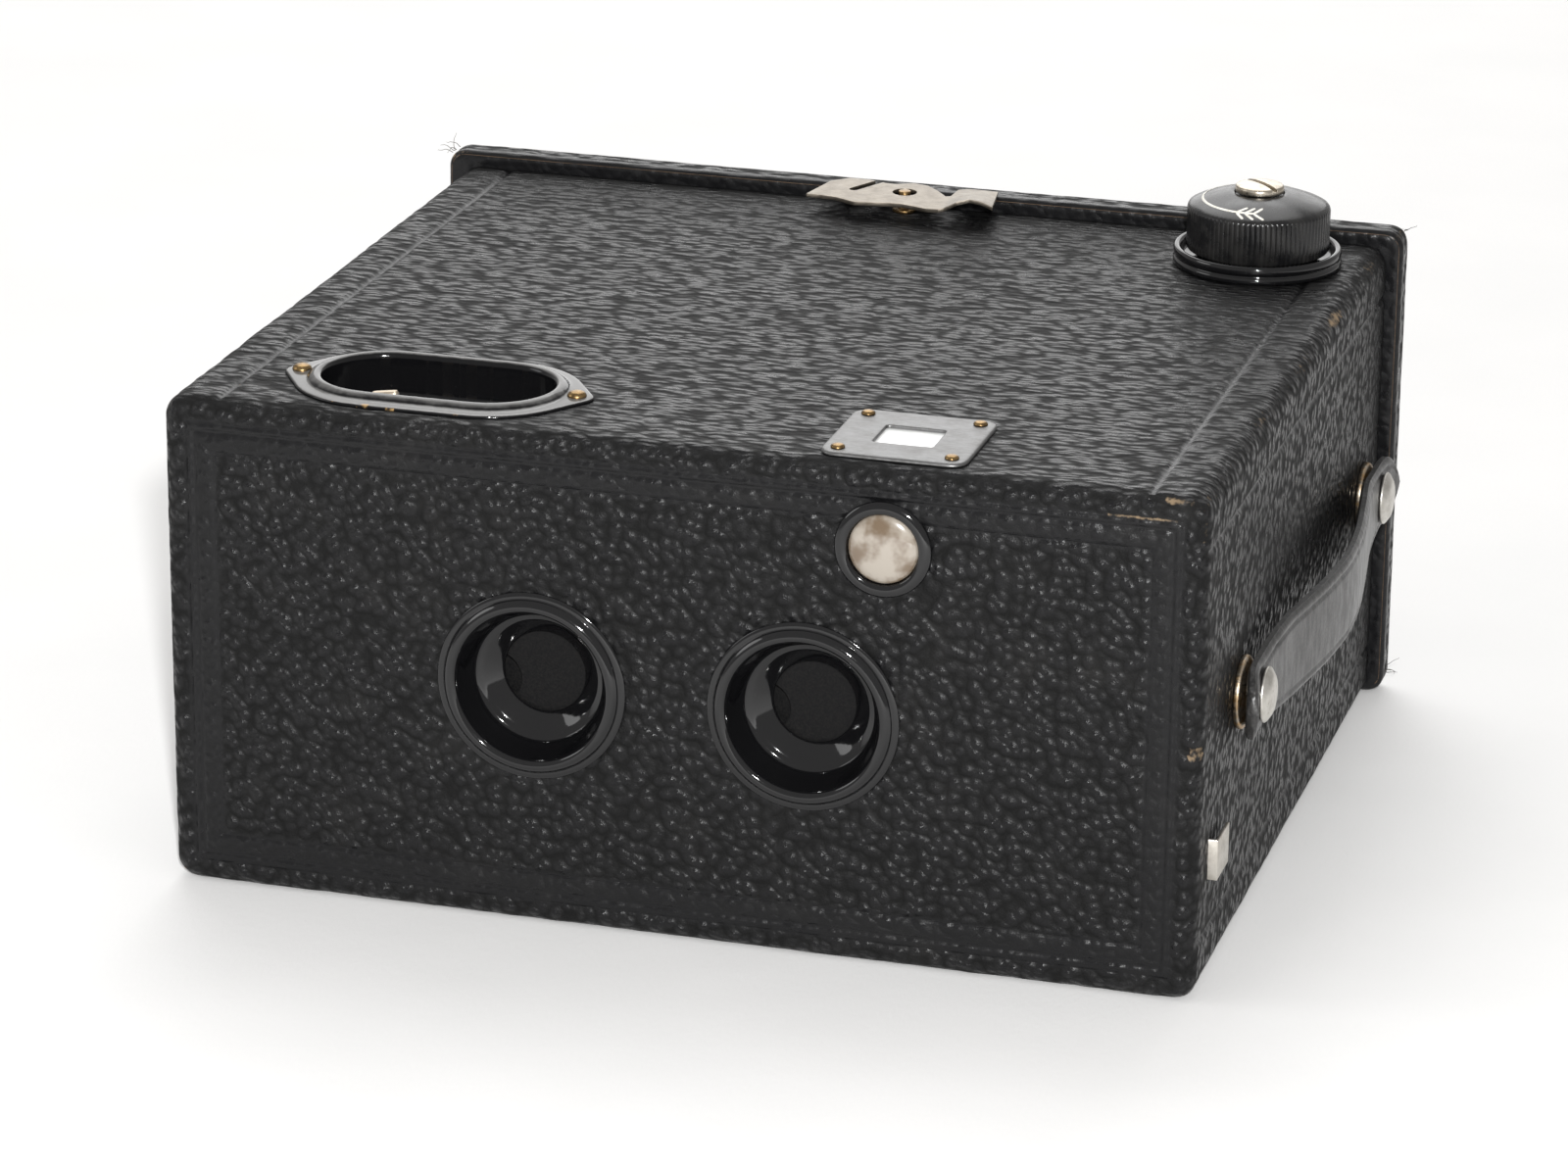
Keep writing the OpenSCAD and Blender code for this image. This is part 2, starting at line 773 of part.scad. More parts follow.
module shutter_pivots() {
    color(brass) {
        for (x = [left_x, right_x]) translate([x, 0, blade_z]) {
            rod_y(pivot_r, blade_y0 - 0.3, lens_board_y0);
            rod_y(2.2, blade_y0 - 0.3, blade_y0 - 0.05);
            rod_y(2.2, blade_y1 + 0.05, plate_y0);
        }
        translate([lever_x, 0, lever_z]) {
            rod_y(pivot_r, lever_y0 - 0.7, lens_board_y0);
            rod_y(2, lever_y0 - 0.7, lever_y0 - 0.5 - eps);
        }
    }
}

// Blade with its exposure hole up and its crank down, at the middle of its swing
module shutter_blade() {
    reach = 2 * blade_r;
    a = blade_half_angle;
    difference() {
        union() {
            along_y(blade_y0, blade_y1) {
                circle(r = hub_r);
                intersection() {
                    circle(r = blade_r);
                    polygon([[0, 0], [-reach * sin(a), reach * cos(a)], [-reach * sin(a), reach],
                        [reach * sin(a), reach], [reach * sin(a), reach * cos(a)]]);
                }
                translate([-2, -crank_r]) square([4, crank_r]);
                translate([0, -crank_r]) circle(r = 2);
            }
            translate([0, 0, -crank_r]) rod_y(crank_pin_r, blade_y1 - eps, link_y1 + 0.05);
        }
        translate([0, 0, blade_swing_r]) rod_y(blade_hole_r, blade_y0 - 1, blade_y1 + 1);
        rod_y(pivot_r + run_gap, blade_y0 - 1, blade_y1 + 1);
    }
}
module left_shutter_blade() {
    color("dimgray") swung(left_x, blade_z, blade_rest) shutter_blade();
}
module right_shutter_blade() {
    color("dimgray") swung(right_x, blade_z, blade_rest) shutter_blade();
}

// Bar that joins both blades' cranks to the lever's lower end
module shutter_link() {
    slot_x = lever_x + lever_arm * sin(lever_swing);
    slot_z = lever_z - lever_arm * cos(lever_swing);
    slot_r = lever_pin_r + lever_slot_gap;
    color("silver") difference() {
        along_y(link_y0, link_y1) {
            translate([slot_x - 3, link_z - link_half])
                square([right_x + link_x - slot_x + 3, 2 * link_half]);
            translate([right_x + link_x, link_z]) circle(r = link_half);
        }
        for (x = [left_x, right_x])
            translate([x + link_x, 0, link_z])
                rod_y(crank_pin_r + run_gap, link_y0 - 1, link_y1 + 1);
        for (dz = [-0.35, 0.35]) translate([slot_x, 0, slot_z + dz])
            rod_y(slot_r, link_y0 - 1, link_y1 + 1);
    }
}

// Strip that is drawn out of the right side for time exposures; its outer end is turned back
module time_slide() {
    y0 = link_y1 - sheet_t;
    y1 = link_y1;
    x1 = case_w / 2 + slide_out;
    z0 = slide_z - slide_h / 2;
    z1 = slide_z + slide_h / 2;
    color(nickel) union() {
        block([case_w / 2 - slide_in, y0, z0], [x1, y1, z1]);
        block([x1 - sheet_t, y0, z0], [x1, y0 + slide_face, z1]);
    }
}

// ---- lens board and lenses -----------------------------------------------------------------------

module lens_board() {
    color(wood) difference() {
        block([-inner_x + seat_gap, lens_board_y0, inner_z0],
            [inner_x - seat_gap, lens_board_y1, inner_z1]);
        lens_holes(lens_board_y0 - 1, lens_board_y1 + 1, lens_d / 2 + lens_cell_wall);
        at_shutter_pivots() rod_y(pivot_r + 1, lens_board_y0 - 1, lens_board_y0 + 1);
        block([lever_x - well_l / 2 - 2, lens_board_y0 - 1, bend_z - 5],
            [lever_x + well_l / 2 + 2, lens_board_y1 + 1, inner_z1 + 1]);
        block([finder_x - finder_box_w / 2 - 1, lens_board_y0 - 1, lens_z + 15.5],
            [finder_x + finder_box_w / 2 + 1, lens_board_y1 + 1, inner_z1 + 1]);
    }
}

module lens_cells() {
    outer = lens_d / 2 + lens_cell_wall;
    inner = lens_d / 2 - 0.7;
    pocket = lens_d / 2;
    pocket_y0 = lens_board_y0 + 0.8;
    color(brass) for (x = [left_x, right_x]) translate([x, 0, lens_z]) difference() {
        rod_y(outer, lens_board_y0, lens_board_y1);
        rod_y(inner, lens_board_y0 - 1, lens_board_y1 + 1);
        rod_y(pocket, pocket_y0, pocket_y0 + lens_t + 0.4);
    }
}

// Meniscus lenses, hollow towards the front
module lenses() {
    front_r = 60;
    rear_r = 34;
    r = lens_d / 2;
    y0 = lens_board_y0 + 0.9;
    bulge = rear_r - sqrt(pow(rear_r, 2) - pow(r, 2));
    color(clear_glass) for (x = [left_x, right_x]) translate([x, 0, lens_z]) difference() {
        intersection() {
            rod_y(r, y0, y0 + lens_t + 0.2);
            translate([0, y0 + lens_t + 0.2 - rear_r, 0]) sphere(r = rear_r);
        }
        translate([0, y0 - front_r + 0.4, 0]) sphere(r = front_r);
    }
}

// ---- light box and film gate -----------------------------------------------------------------------

// Everything below the light box's sloping top
module under_light_top(x0, x1) {
    y0 = lens_board_y1;
    y1 = gate_y0;
    along_x(x0, x1) polygon([[y0, inner_z0], [y1, inner_z0], [y1, light_top(y1)], [y0, light_top(y0)]]);
}

module light_box_walls() {
    t = light_wall_t;
    y0 = lens_board_y1;
    y1 = gate_y0;
    color(black_tin) {
        for (s = [-1, 1]) intersection() {
            mirror([s < 0 ? 1 : 0, 0, 0]) along_z(inner_z0, inner_z1) polygon([[light_x(y0), y0],
                [light_x(y0) + t, y0], [light_x(y1) + t, y1], [light_x(y1), y1]]);
            under_light_top(-case_w, case_w);
        }
        intersection() {
            along_z(inner_z0, inner_z1) polygon([[-light_x(y0) - t, y0], [light_x(y0) + t, y0],
                [light_x(y1) + t, y1], [-light_x(y1) - t, y1]]);
            along_x(-case_w, case_w) polygon([[y0, light_top(y0)], [y1, light_top(y1)],
                [y1, light_top(y1) + t], [y0, light_top(y0) + t]]);
        }
    }
}

module light_box_septum() {
    color(black_tin)
        under_light_top(lens_mid_x - light_wall_t / 2, lens_mid_x + light_wall_t / 2);
}

// Partitions that close the spool chambers towards the front
module spool_partitions() {
    y0 = partition_y1 - light_wall_t;
    x0 = light_x(partition_y1) + light_wall_t;
    color(black_tin) for (s = [-1, 1]) mirror([s < 0 ? 1 : 0, 0, 0])
        block([x0, y0, inner_z0], [inner_x - seat_gap, partition_y1, inner_z1]);
}

module film_gate() {
    z0 = inner_z0 + strip_t;
    z1 = inner_z1 - strip_t;
    zc = case_h / 2;
    color(black_tin) difference() {
        block([-gate_half, gate_y0, z0], [gate_half, gate_y1, z1]);
        block([-image_w / 2, gate_y0 - 1, zc - image_h / 2],
            [lens_mid_x - light_wall_t / 2, gate_y1 + 1, zc + image_h / 2]);
        block([lens_mid_x + light_wall_t / 2, gate_y0 - 1, zc - image_h / 2],
            [image_w / 2, gate_y1 + 1, zc + image_h / 2]);
    }
}

module roller_strips() {
    end = roller_x + roller_r + 0.6;
    color(nickel) difference() {
        for (z = [inner_z0, inner_z1 - strip_t])
            block([-end, gate_y0, z], [end, film_y, z + strip_t]);
        for (s = [-1, 1]) translate([s * roller_x, roller_y, 0])
            rod_z(trunnion_r + run_gap, 0, case_h);
    }
}

module film_roller(x) {
    z0 = inner_z0 + strip_t + roller_end_gap;
    z1 = inner_z1 - strip_t - roller_end_gap;
    color(nickel) translate([x, roller_y, 0]) union() {
        rod_z(roller_r, z0, z1);
        rod_z(trunnion_r, inner_z0 + trunnion_end_gap, inner_z1 - trunnion_end_gap);
    }
}
module left_film_roller() {
    film_roller(-roller_x);
}
module right_film_roller() {
    film_roller(roller_x);
}

// ---- spools -----------------------------------------------------------------------------------

module spool() {
    difference() {
        union() {
            rod_z(spool_core_d / 2, spool_z0, spool_z1);
            rod_z(spool_r, spool_z0, spool_z0 + spool_flange_t);
            rod_z(spool_r, spool_z1 - spool_flange_t, spool_z1);
        }
        rod_z(pivot_pin_r + pivot_gap, spool_z0 - 1, spool_z0 + pivot_depth + 1);
        rod_z(pivot_pin_r + pivot_gap, spool_z1 - pivot_depth - 1, spool_z1 + 1);
        for (z = [spool_z0 - eps, spool_z1 - key_slot_depth])
            block([-key_w / 2 - seat_gap, -key_t / 2 - seat_gap, z],
                [key_w / 2 + seat_gap, key_t / 2 + seat_gap, z + key_slot_depth + eps]);
    }
}
module supply_spool() {
    color("darkred") translate([-spool_x, spool_y, 0]) spool();
}
module take_up_spool() {
    color("darkred") translate([spool_x, spool_y, 0]) spool();
}

// Studs that the spools turn on: two below, and one above the supply spool
module spool_pivots() {
    base_r = spool_pivot_base_r;
    base_t = strip_t;
    color(nickel) {
        for (x = [-spool_x, spool_x]) translate([x, spool_y, 0]) {
            rod_z(base_r, inner_z0, inner_z0 + base_t);
            rod_z(pivot_pin_r, inner_z0, spool_z0 + pivot_depth);
        }
        translate([-spool_x, spool_y, 0]) {
            rod_z(base_r, inner_z1 - base_t, inner_z1);
            rod_z(pivot_pin_r, spool_z1 - pivot_depth, inner_z1);
        }
    }
}

// Bowed leaf springs that steady the film rolls
module spool_springs() {
    half = 9;
    rise = 3;
    bow_r = (pow(half, 2) + pow(rise, 2)) / (2 * rise);
    color(nickel) for (s = [-1, 1])
        translate([s * spool_x, partition_y1, 0]) along_z(case_h / 2 - 8, case_h / 2 + 8)
            intersection() {
                translate([0, rise - bow_r]) difference() {
                    circle(r = bow_r);
                    circle(r = bow_r - 0.3);
                }
                translate([-half, 0]) square([2 * half, rise + 1]);
            }
}

// ---- winding knob ---------------------------------------------------------------------------------

module winding_bush() {
    color(brass) translate([spool_x, spool_y, 0]) difference() {
        rod_z(bush_r, inner_z1, bush_top);
        rod_z(key_w / 2 + seat_gap, inner_z1 - 1, bush_top - bush_head_t);
        rod_z(shaft_d / 2 + run_gap, inner_z1, bush_top + 1);
    }
}

module knob_flange() {
    rim_t = 1.2;
    color(black_tin) translate([spool_x, spool_y, 0]) difference() {
        union() {
            rod_z(flange_d / 2, case_h, case_h + flange_rim_h - rim_t / 2);
            translate([0, 0, case_h + flange_rim_h - rim_t / 2]) rotate_extrude()
                translate([(flange_d - rim_t) / 2, 0]) circle(d = rim_t);
        }
        rod_z(flange_d / 2 - rim_t, case_h + flange_t, case_h + flange_rim_h + 1);
        rod_z(bush_r, case_h - 1, case_h + flange_rim_h);
    }
}

module thrust_washer() {
    color(brass) translate([spool_x, spool_y, 0]) difference() {
        rod_z(bush_r - 0.4, bush_top, bush_top + washer_t);
        rod_z(shaft_d / 2 + run_gap, bush_top - 1, bush_top + washer_t + 1);
    }
}

// Shaft with the key blade that turns the take-up spool
module winding_shaft() {
    color(nickel) translate([spool_x, spool_y, 0]) difference() {
        union() {
            rod_z(shaft_d / 2, key_z1 - eps, screw_z - 1);
            block([-key_w / 2, -key_t / 2, key_z0], [key_w / 2, key_t / 2, key_z1]);
        }
        rod_z(1, screw_z - 4, screw_z);
    }
}

module winding_knob() {
    color(black_tin) translate([spool_x, spool_y, 0]) difference() {
        translate([0, 0, knob_z0]) domed_disc(knob_d / 2, knob_side_h, knob_dome_h);
        rod_z(bush_r + 0.6, knob_z0 - 1, knob_hollow_z);
        rod_z(shaft_d / 2, knob_z0, screw_z);
        rod_z(screw_head_d / 2, screw_z, screw_z + 5);
    }
}

module knob_screw() {
    head_z = screw_z + screw_head_h;
    dome = 0.4;
    r = screw_head_d / 2;
    color(nickel) translate([spool_x, spool_y, 0]) difference() {
        union() {
            translate([0, 0, screw_z]) domed_disc(r, screw_head_h - dome, dome);
            rod_z(1, screw_z - 4, screw_z + eps);
        }
        rotate([0, 0, -40]) block([-r - 1, -0.5, head_z - 0.9], [r + 1, 0.5, head_z + 1]);
    }
}

// ---- strap ----------------------------------------------------------------------------------------

// Outward place of the strap's inner face along the case
function strap_in(y) = y < stud_y_front
    ? strap_x + strap_flare * pow((stud_y_front - y) / strap_tail, 2)
    : y > stud_y_back
    ? strap_x + strap_flare * pow((y - stud_y_back) / strap_tail, 2)
    : strap_x + strap_bow * pow(sin(180 * (y - stud_y_front) / (stud_y_back - stud_y_front)), 2);

module strap() {
    steps = 28;
    y0 = stud_y_front - strap_tail;
    y1 = stud_y_back + strap_tail;
    inner = [for (i = [0 : steps]) let (y = y0 + (y1 - y0) * i / steps) [strap_in(y), y]];
    outer = [for (i = [steps : -1 : 0]) let (y = y0 + (y1 - y0) * i / steps)
        [strap_in(y) + strap_t, y]];
    mid = (y0 + y1) / 2;
    end_r = strap_w / 2;
    color("dimgray") difference() {
        intersection() {
            along_z(strap_z - strap_mid_w / 2, strap_z + strap_mid_w / 2)
                polygon(concat(inner, outer));
            translate([0, 0, strap_z]) along_x(case_w / 2, case_w / 2 + 20) union() {
                polygon([[y0 + end_r, -strap_w / 2], [stud_y_front, -strap_w / 2],
                    [stud_y_front + 18, -strap_mid_w / 2], [stud_y_back - 18, -strap_mid_w / 2],
                    [stud_y_back, -strap_w / 2], [y1 - end_r, -strap_w / 2],
                    [y1 - end_r, strap_w / 2], [stud_y_back, strap_w / 2],
                    [stud_y_back - 18, strap_mid_w / 2], [stud_y_front + 18, strap_mid_w / 2],
                    [stud_y_front, strap_w / 2], [y0 + end_r, strap_w / 2]]);
                for (y = [y0 + end_r, y1 - end_r]) translate([y, 0]) circle(r = end_r);
            }
        }
        stud_cuts(case_w / 2, case_w / 2 + 20);
    }
}

module strap_studs() {
    head_x = strap_x + strap_t + strap_head_gap;
    color(nickel) for (y = [stud_y_front, stud_y_back]) translate([0, y, strap_z]) union() {
        rod_x(stud_r, inner_x, head_x + eps);
        translate([head_x, 0, 0]) rotate([0, 90, 0]) domed_disc(stud_head_d / 2, 0.4, 1.2);
    }
}

module strap_washers() {
    color(nickel) for (y = [stud_y_front, stud_y_back]) translate([0, y, strap_z]) difference() {
        rod_x(washer_d / 2, case_w / 2, strap_x - 0.05);
        rod_x(stud_r, case_w / 2 - 1, strap_x + 1);
    }
}

// ---- latch -----------------------------------------------------------------------------------------

module latch_post() {
    color(brass) translate([post_x, post_y, 0]) union() {
        rod_z(post_r, inner_z1 + 1, latch_z + latch_t + 0.2);
        rod_z(2 * post_r, case_h, case_h + 0.5);
    }
}

// Outline of the leaf's flat part: left lobe, round middle and neck
module latch_outline() {
    front = latch_y0 + 1.4;
    polygon([[latch_left, front], [latch_left + 8.5, latch_y0], [post_x - 3, front], [post_x + 3, front],
        [latch_tab_x, latch_y0 + 0.2], [latch_tab_x, latch_y0 + 6], [post_x + 4, latch_y1 - 1.8],
        [post_x, latch_y1 - 0.6], [post_x - 3, latch_y1 - 2.4], [latch_left + 8, latch_y1 - 0.4],
        [latch_left + 2, latch_y1 - 0.6], [latch_left, front + 1.2]]);
}

// Spring leaf: fixed lobe on the left, holed middle on the post, arched finger tab on the right
module latch_leaf() {
    neck = 0.5;
    slope = 2.5;
    rise = 1.4;
    color(nickel) difference() {
        union() {
            along_z(latch_z, latch_z + latch_t) latch_outline();
            along_y(latch_y0 + 3.2, latch_y1 - 1) polygon([
                [latch_tab_x - neck, latch_z], [latch_tab_x, latch_z],
                [latch_tab_x + slope, latch_z + rise], [latch_right - slope, latch_z + rise],
                [latch_right, latch_z + rise / 2], [latch_right, latch_z + rise / 2 + latch_t],
                [latch_right - slope, latch_z + rise + latch_t],
                [latch_tab_x + slope, latch_z + rise + latch_t],
                [latch_tab_x, latch_z + latch_t], [latch_tab_x - neck, latch_z + latch_t]]);
        }
        translate([post_x, post_y, 0]) rod_z(latch_hole_r, latch_z - 1, latch_z + 2);
    }
}

// ---- back cover --------------------------------------------------------------------------------------

// Cover's outline, drawn in from the outside by an inset
module cover_section(inset) {
    w = cover_w - 2 * inset;
    h = cover_top - cover_bottom - 2 * inset;
    translate([0, (cover_top + cover_bottom) / 2]) round_rect(w, h, 3 - inset);
}

module hinge_notch() {
    block([-hinge_half - seat_gap, cover_y0 - 1, -1], [hinge_half + seat_gap, cover_y1 + 1, notch_z]);
}

// Quarter-round taken off the cover's lower front edge, so that it swings clear of the case
module swing_relief() {
    r = cover_edge_r;
    along_x(-cover_w, cover_w) difference() {
        translate([cover_y0 - 1, cover_bottom - 1]) square(r + 1);
        translate([cover_y0 + r, cover_bottom + r]) circle(r = r);
    }
}

module back_board() {
    color(wood) difference() {
        along_y(cover_y0, cover_y1 - skin_t) cover_section(skin_t);
        hinge_notch();
        swing_relief();
        block([-hinge_half - seat_gap, hinge_y - leaf_t / 2 - 0.05, notch_z - 1],
            [hinge_half + seat_gap, hinge_y + leaf_t / 2 + 0.05, notch_z + leaf_l]);
        translate([0, 0, ruby_z]) rod_y(ruby_d / 2 + 0.6, cover_y0 - 1, cover_y1 + 1);
    }
}

module back_leatherette() {
    color(black_skin) difference() {
        along_y(cover_y0, cover_y1) cover_section(0);
        along_y(cover_y0 - 1, cover_y1 - skin_t) cover_section(skin_t);
        hinge_notch();
        swing_relief();
        translate([0, 0, ruby_z]) rod_y(ruby_d / 2 + 0.6, cover_y0 - 1, cover_y1 + 1);
    }
}

// Tin lip that enters the case and keeps the light out
module back_lip() {
    x = inner_x - lip_gap;
    z0 = inner_z0 + lip_gap;
    z1 = inner_z1 - lip_gap;
    y0 = cover_y0 - lip_d;
    color(black_tin) difference() {
        block([-x, y0, z0], [x, cover_y0, z1]);
        block([-x + lip_t, y0 - 1, z0 + lip_t], [x - lip_t, cover_y0 + 1, z1 - lip_t]);
    }
}

module pressure_plate() {
    zc = case_h / 2;
    color(black_tin) difference() {
        block([-plate_w / 2, pressure_y0, zc - plate_h / 2],
            [plate_w / 2, pressure_y0 + plate_t, zc + plate_h / 2]);
        translate([0, 0, ruby_z]) rod_y(ruby_d / 2, pressure_y0 - 1, pressure_y0 + 2);
    }
}

// Two bowed springs between the cover and the pressure plate
module pressure_springs() {
    half = 16;
    rise = cover_y0 - pressure_y0 - plate_t;
    bow_r = (pow(half, 2) + pow(rise, 2)) / (2 * rise);
    color(nickel) for (s = [-1, 1]) translate([s * image_w / 4, 0, 0])
        along_z(case_h / 2 - 5, case_h / 2 + 5) intersection() {
            translate([0, pressure_y0 + plate_t + bow_r]) difference() {
                circle(r = bow_r);
                circle(r = bow_r - 0.3);
            }
            translate([-half, pressure_y0]) square([2 * half, cover_y0 - pressure_y0]);
        }
}

module ruby_window() {
    color("darkred") translate([0, 0, ruby_z])
        rod_y(ruby_d / 2 + 0.6, cover_y0 + 1.4, cover_y0 + 2.4);
}

// ---- hinge ---------------------------------------------------------------------------------------------

// Knuckles at every second place along the pin
module knuckles(first) {
    for (i = [first : 2 : knuckle_n - 1]) {
        x0 = -hinge_half + i * knuckle_l;
        translate([0, hinge_y, hinge_z]) rod_x(knuckle_r, x0 + move_gap, x0 + knuckle_l - move_gap);
    }
}
module knuckle_arms(first, lo, hi) {
    for (i = [first : 2 : knuckle_n - 1]) {
        x0 = -hinge_half + i * knuckle_l;
        block([x0 + move_gap, lo[0], lo[1]], [x0 + knuckle_l - move_gap, hi[0], hi[1]]);
    }
}
module pin_bore(r) {
    translate([0, hinge_y, hinge_z]) rod_x(r, -hinge_half - 1, hinge_half + 1);
}

module body_hinge_leaf() {
    t = leaf_t / 2;
    color(nickel) difference() {
        union() {
            knuckles(0);
            knuckle_arms(0, [back_y - 1, hinge_z - t], [hinge_y, hinge_z + t]);
            block([-hinge_half, back_y - leaf_l, hinge_z - t], [hinge_half, back_y - 0.1, hinge_z + t]);
        }
        pin_bore(hinge_pin_r);
    }
}

module cover_hinge_leaf() {
    t = leaf_t / 2;
    color(nickel) difference() {
        union() {
            knuckles(1);
            knuckle_arms(1, [hinge_y - t, hinge_z], [hinge_y + t, notch_z + 1]);
            block([-hinge_half, hinge_y - t, notch_z], [hinge_half, hinge_y + t, notch_z + leaf_l - 1]);
        }
        pin_bore(hinge_pin_r + run_gap);
    }
}

module hinge_pin() {
    color("silver") translate([0, hinge_y, hinge_z]) rod_x(hinge_pin_r, -hinge_half, hinge_half);
}

front_board();
top_board();
bottom_board();
left_board();
right_board();
front_leatherette();
body_leatherette();
bottom_leatherette();
left_lens_eyelet();
right_lens_eyelet();
finder_lens_rim();
finder_lens();
finder_housing();
finder_mirror();
finder_glass();
finder_plate();
escutcheon_pins();
lever_well();
release_lever();
lever_spring();
shutter_plate();
shutter_pivots();
left_shutter_blade();
right_shutter_blade();
shutter_link();
time_slide();
lens_board();
lens_cells();
lenses();
light_box_walls();
light_box_septum();
spool_partitions();
film_gate();
roller_strips();
left_film_roller();
right_film_roller();
spool_pivots();
spool_springs();
supply_spool();
take_up_spool();
winding_bush();
knob_flange();
thrust_washer();
winding_shaft();
winding_knob();
knob_screw();
strap();
strap_studs();
strap_washers();
latch_post();
latch_leaf();
back_board();
back_leatherette();
back_lip();
pressure_plate();
pressure_springs();
ruby_window();
body_hinge_leaf();
cover_hinge_leaf();
hinge_pin();
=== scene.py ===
"""The looks of a stereo box camera in black leatherette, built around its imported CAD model.

X runs to the right as seen from the front, Y runs back from the lenses and Z is up, in metres.
Places come from the CAD nodes' boxes. Sizes that the CAD model doesn't hold are named here.
"""

import json
import math
import random

import bmesh
import bpy
import numpy as np
from mathutils import Matrix, Vector, noise

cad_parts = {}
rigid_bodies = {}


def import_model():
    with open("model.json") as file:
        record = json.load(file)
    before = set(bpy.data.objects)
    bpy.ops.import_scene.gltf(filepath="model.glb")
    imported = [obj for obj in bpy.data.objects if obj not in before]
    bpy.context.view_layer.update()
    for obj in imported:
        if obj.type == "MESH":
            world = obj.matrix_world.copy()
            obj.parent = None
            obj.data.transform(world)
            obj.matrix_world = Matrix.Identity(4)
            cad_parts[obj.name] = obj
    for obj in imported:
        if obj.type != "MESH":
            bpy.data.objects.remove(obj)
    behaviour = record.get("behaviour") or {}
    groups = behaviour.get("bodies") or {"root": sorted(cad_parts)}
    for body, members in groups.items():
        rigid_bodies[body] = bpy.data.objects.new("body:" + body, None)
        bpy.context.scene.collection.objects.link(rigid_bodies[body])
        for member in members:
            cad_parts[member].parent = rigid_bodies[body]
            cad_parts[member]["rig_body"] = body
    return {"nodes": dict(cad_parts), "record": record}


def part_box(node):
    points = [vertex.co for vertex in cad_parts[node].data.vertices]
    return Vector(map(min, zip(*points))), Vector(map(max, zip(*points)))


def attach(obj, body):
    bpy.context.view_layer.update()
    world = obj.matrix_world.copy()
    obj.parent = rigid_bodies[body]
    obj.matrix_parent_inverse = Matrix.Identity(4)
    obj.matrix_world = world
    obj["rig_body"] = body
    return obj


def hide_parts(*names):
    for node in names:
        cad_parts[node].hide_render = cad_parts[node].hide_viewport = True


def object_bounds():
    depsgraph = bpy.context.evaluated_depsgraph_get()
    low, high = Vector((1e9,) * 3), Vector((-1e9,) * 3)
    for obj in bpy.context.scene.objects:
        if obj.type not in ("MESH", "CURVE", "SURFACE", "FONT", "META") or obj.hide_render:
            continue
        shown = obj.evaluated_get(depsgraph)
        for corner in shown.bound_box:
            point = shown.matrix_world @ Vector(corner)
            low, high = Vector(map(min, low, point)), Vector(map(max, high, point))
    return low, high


MM = 0.001
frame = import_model()
cad_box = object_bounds()


# ---- camera, light and floor ---------------------------------------------------------------------

CAMERA_AT = Vector((227.2, -792.7, 327.1)) * MM
CAMERA_AZIMUTH = math.radians(16.15)
CAMERA_ELEVATION = math.radians(19.64)
CAMERA_ROLL = math.radians(0.58)
CAMERA_LENS = 129.75
CAMERA_SENSOR = 36


def make_camera():
    az, el = CAMERA_AZIMUTH, CAMERA_ELEVATION
    back = Vector((math.sin(az) * math.cos(el), -math.cos(az) * math.cos(el), math.sin(el)))
    right = Vector((0, 0, 1)).cross(back).normalized()
    up = back.cross(right)
    c, s = math.cos(CAMERA_ROLL), math.sin(CAMERA_ROLL)
    turn = Matrix((c * right + s * up, c * up - s * right, back)).transposed()
    camera = bpy.data.objects.new("camera", bpy.data.cameras.new("camera"))
    camera.data.lens = CAMERA_LENS
    camera.data.sensor_width = CAMERA_SENSOR
    camera.data.clip_start = 0.05
    camera.data.clip_end = 20
    camera.matrix_world = Matrix.Translation(CAMERA_AT) @ turn.to_4x4()
    bpy.context.scene.collection.objects.link(camera)
    bpy.context.scene.camera = camera


def area_light(name, at, toward, size, watts):
    data = bpy.data.lights.new(name, "AREA")
    data.shape = "DISK"
    data.size = size
    data.energy = watts
    lamp = bpy.data.objects.new(name, data)
    lamp.location = at
    lamp.rotation_mode = "QUATERNION"
    lamp.rotation_quaternion = (Vector(toward) - Vector(at)).to_track_quat("-Z", "Y")
    bpy.context.scene.collection.objects.link(lamp)


def make_studio():
    scene = bpy.context.scene
    scene.view_settings.view_transform = "Standard"
    world = bpy.data.worlds.new("studio")
    world.use_nodes = True
    sky = world.node_tree.nodes["Background"]
    sky.inputs["Color"].default_value = (1, 0.985, 0.97, 1)
    sky.inputs["Strength"].default_value = 0.48
    scene.world = world
    target = (0, 0, 0.04)
    area_light("overhead_softbox", (-0.2, 0.6, 0.95), target, 0.9, 4.5)
    area_light("rear_softbox", (-0.35, 1.5, 0.7), target, 1.3, 6.4)
    area_light("left_softbox", (-1.0, -0.35, 0.55), target, 0.5, 1.5)
    area_light("camera_flash", CAMERA_AT + Vector((0.02, 0, 0.07)), target, 0.03, 8)


# ---- materials -----------------------------------------------------------------------------------

SOCKETS = {
    "colour": "Base Color",
    "metal": "Metallic",
    "rough": "Roughness",
    "ior": "IOR",
    "glassy": "Transmission Weight",
    "specular": "Specular IOR Level",
    "coat": "Coat Weight",
    "coat_rough": "Coat Roughness",
    "glow": "Emission Strength",
    "glow_colour": "Emission Color",
}


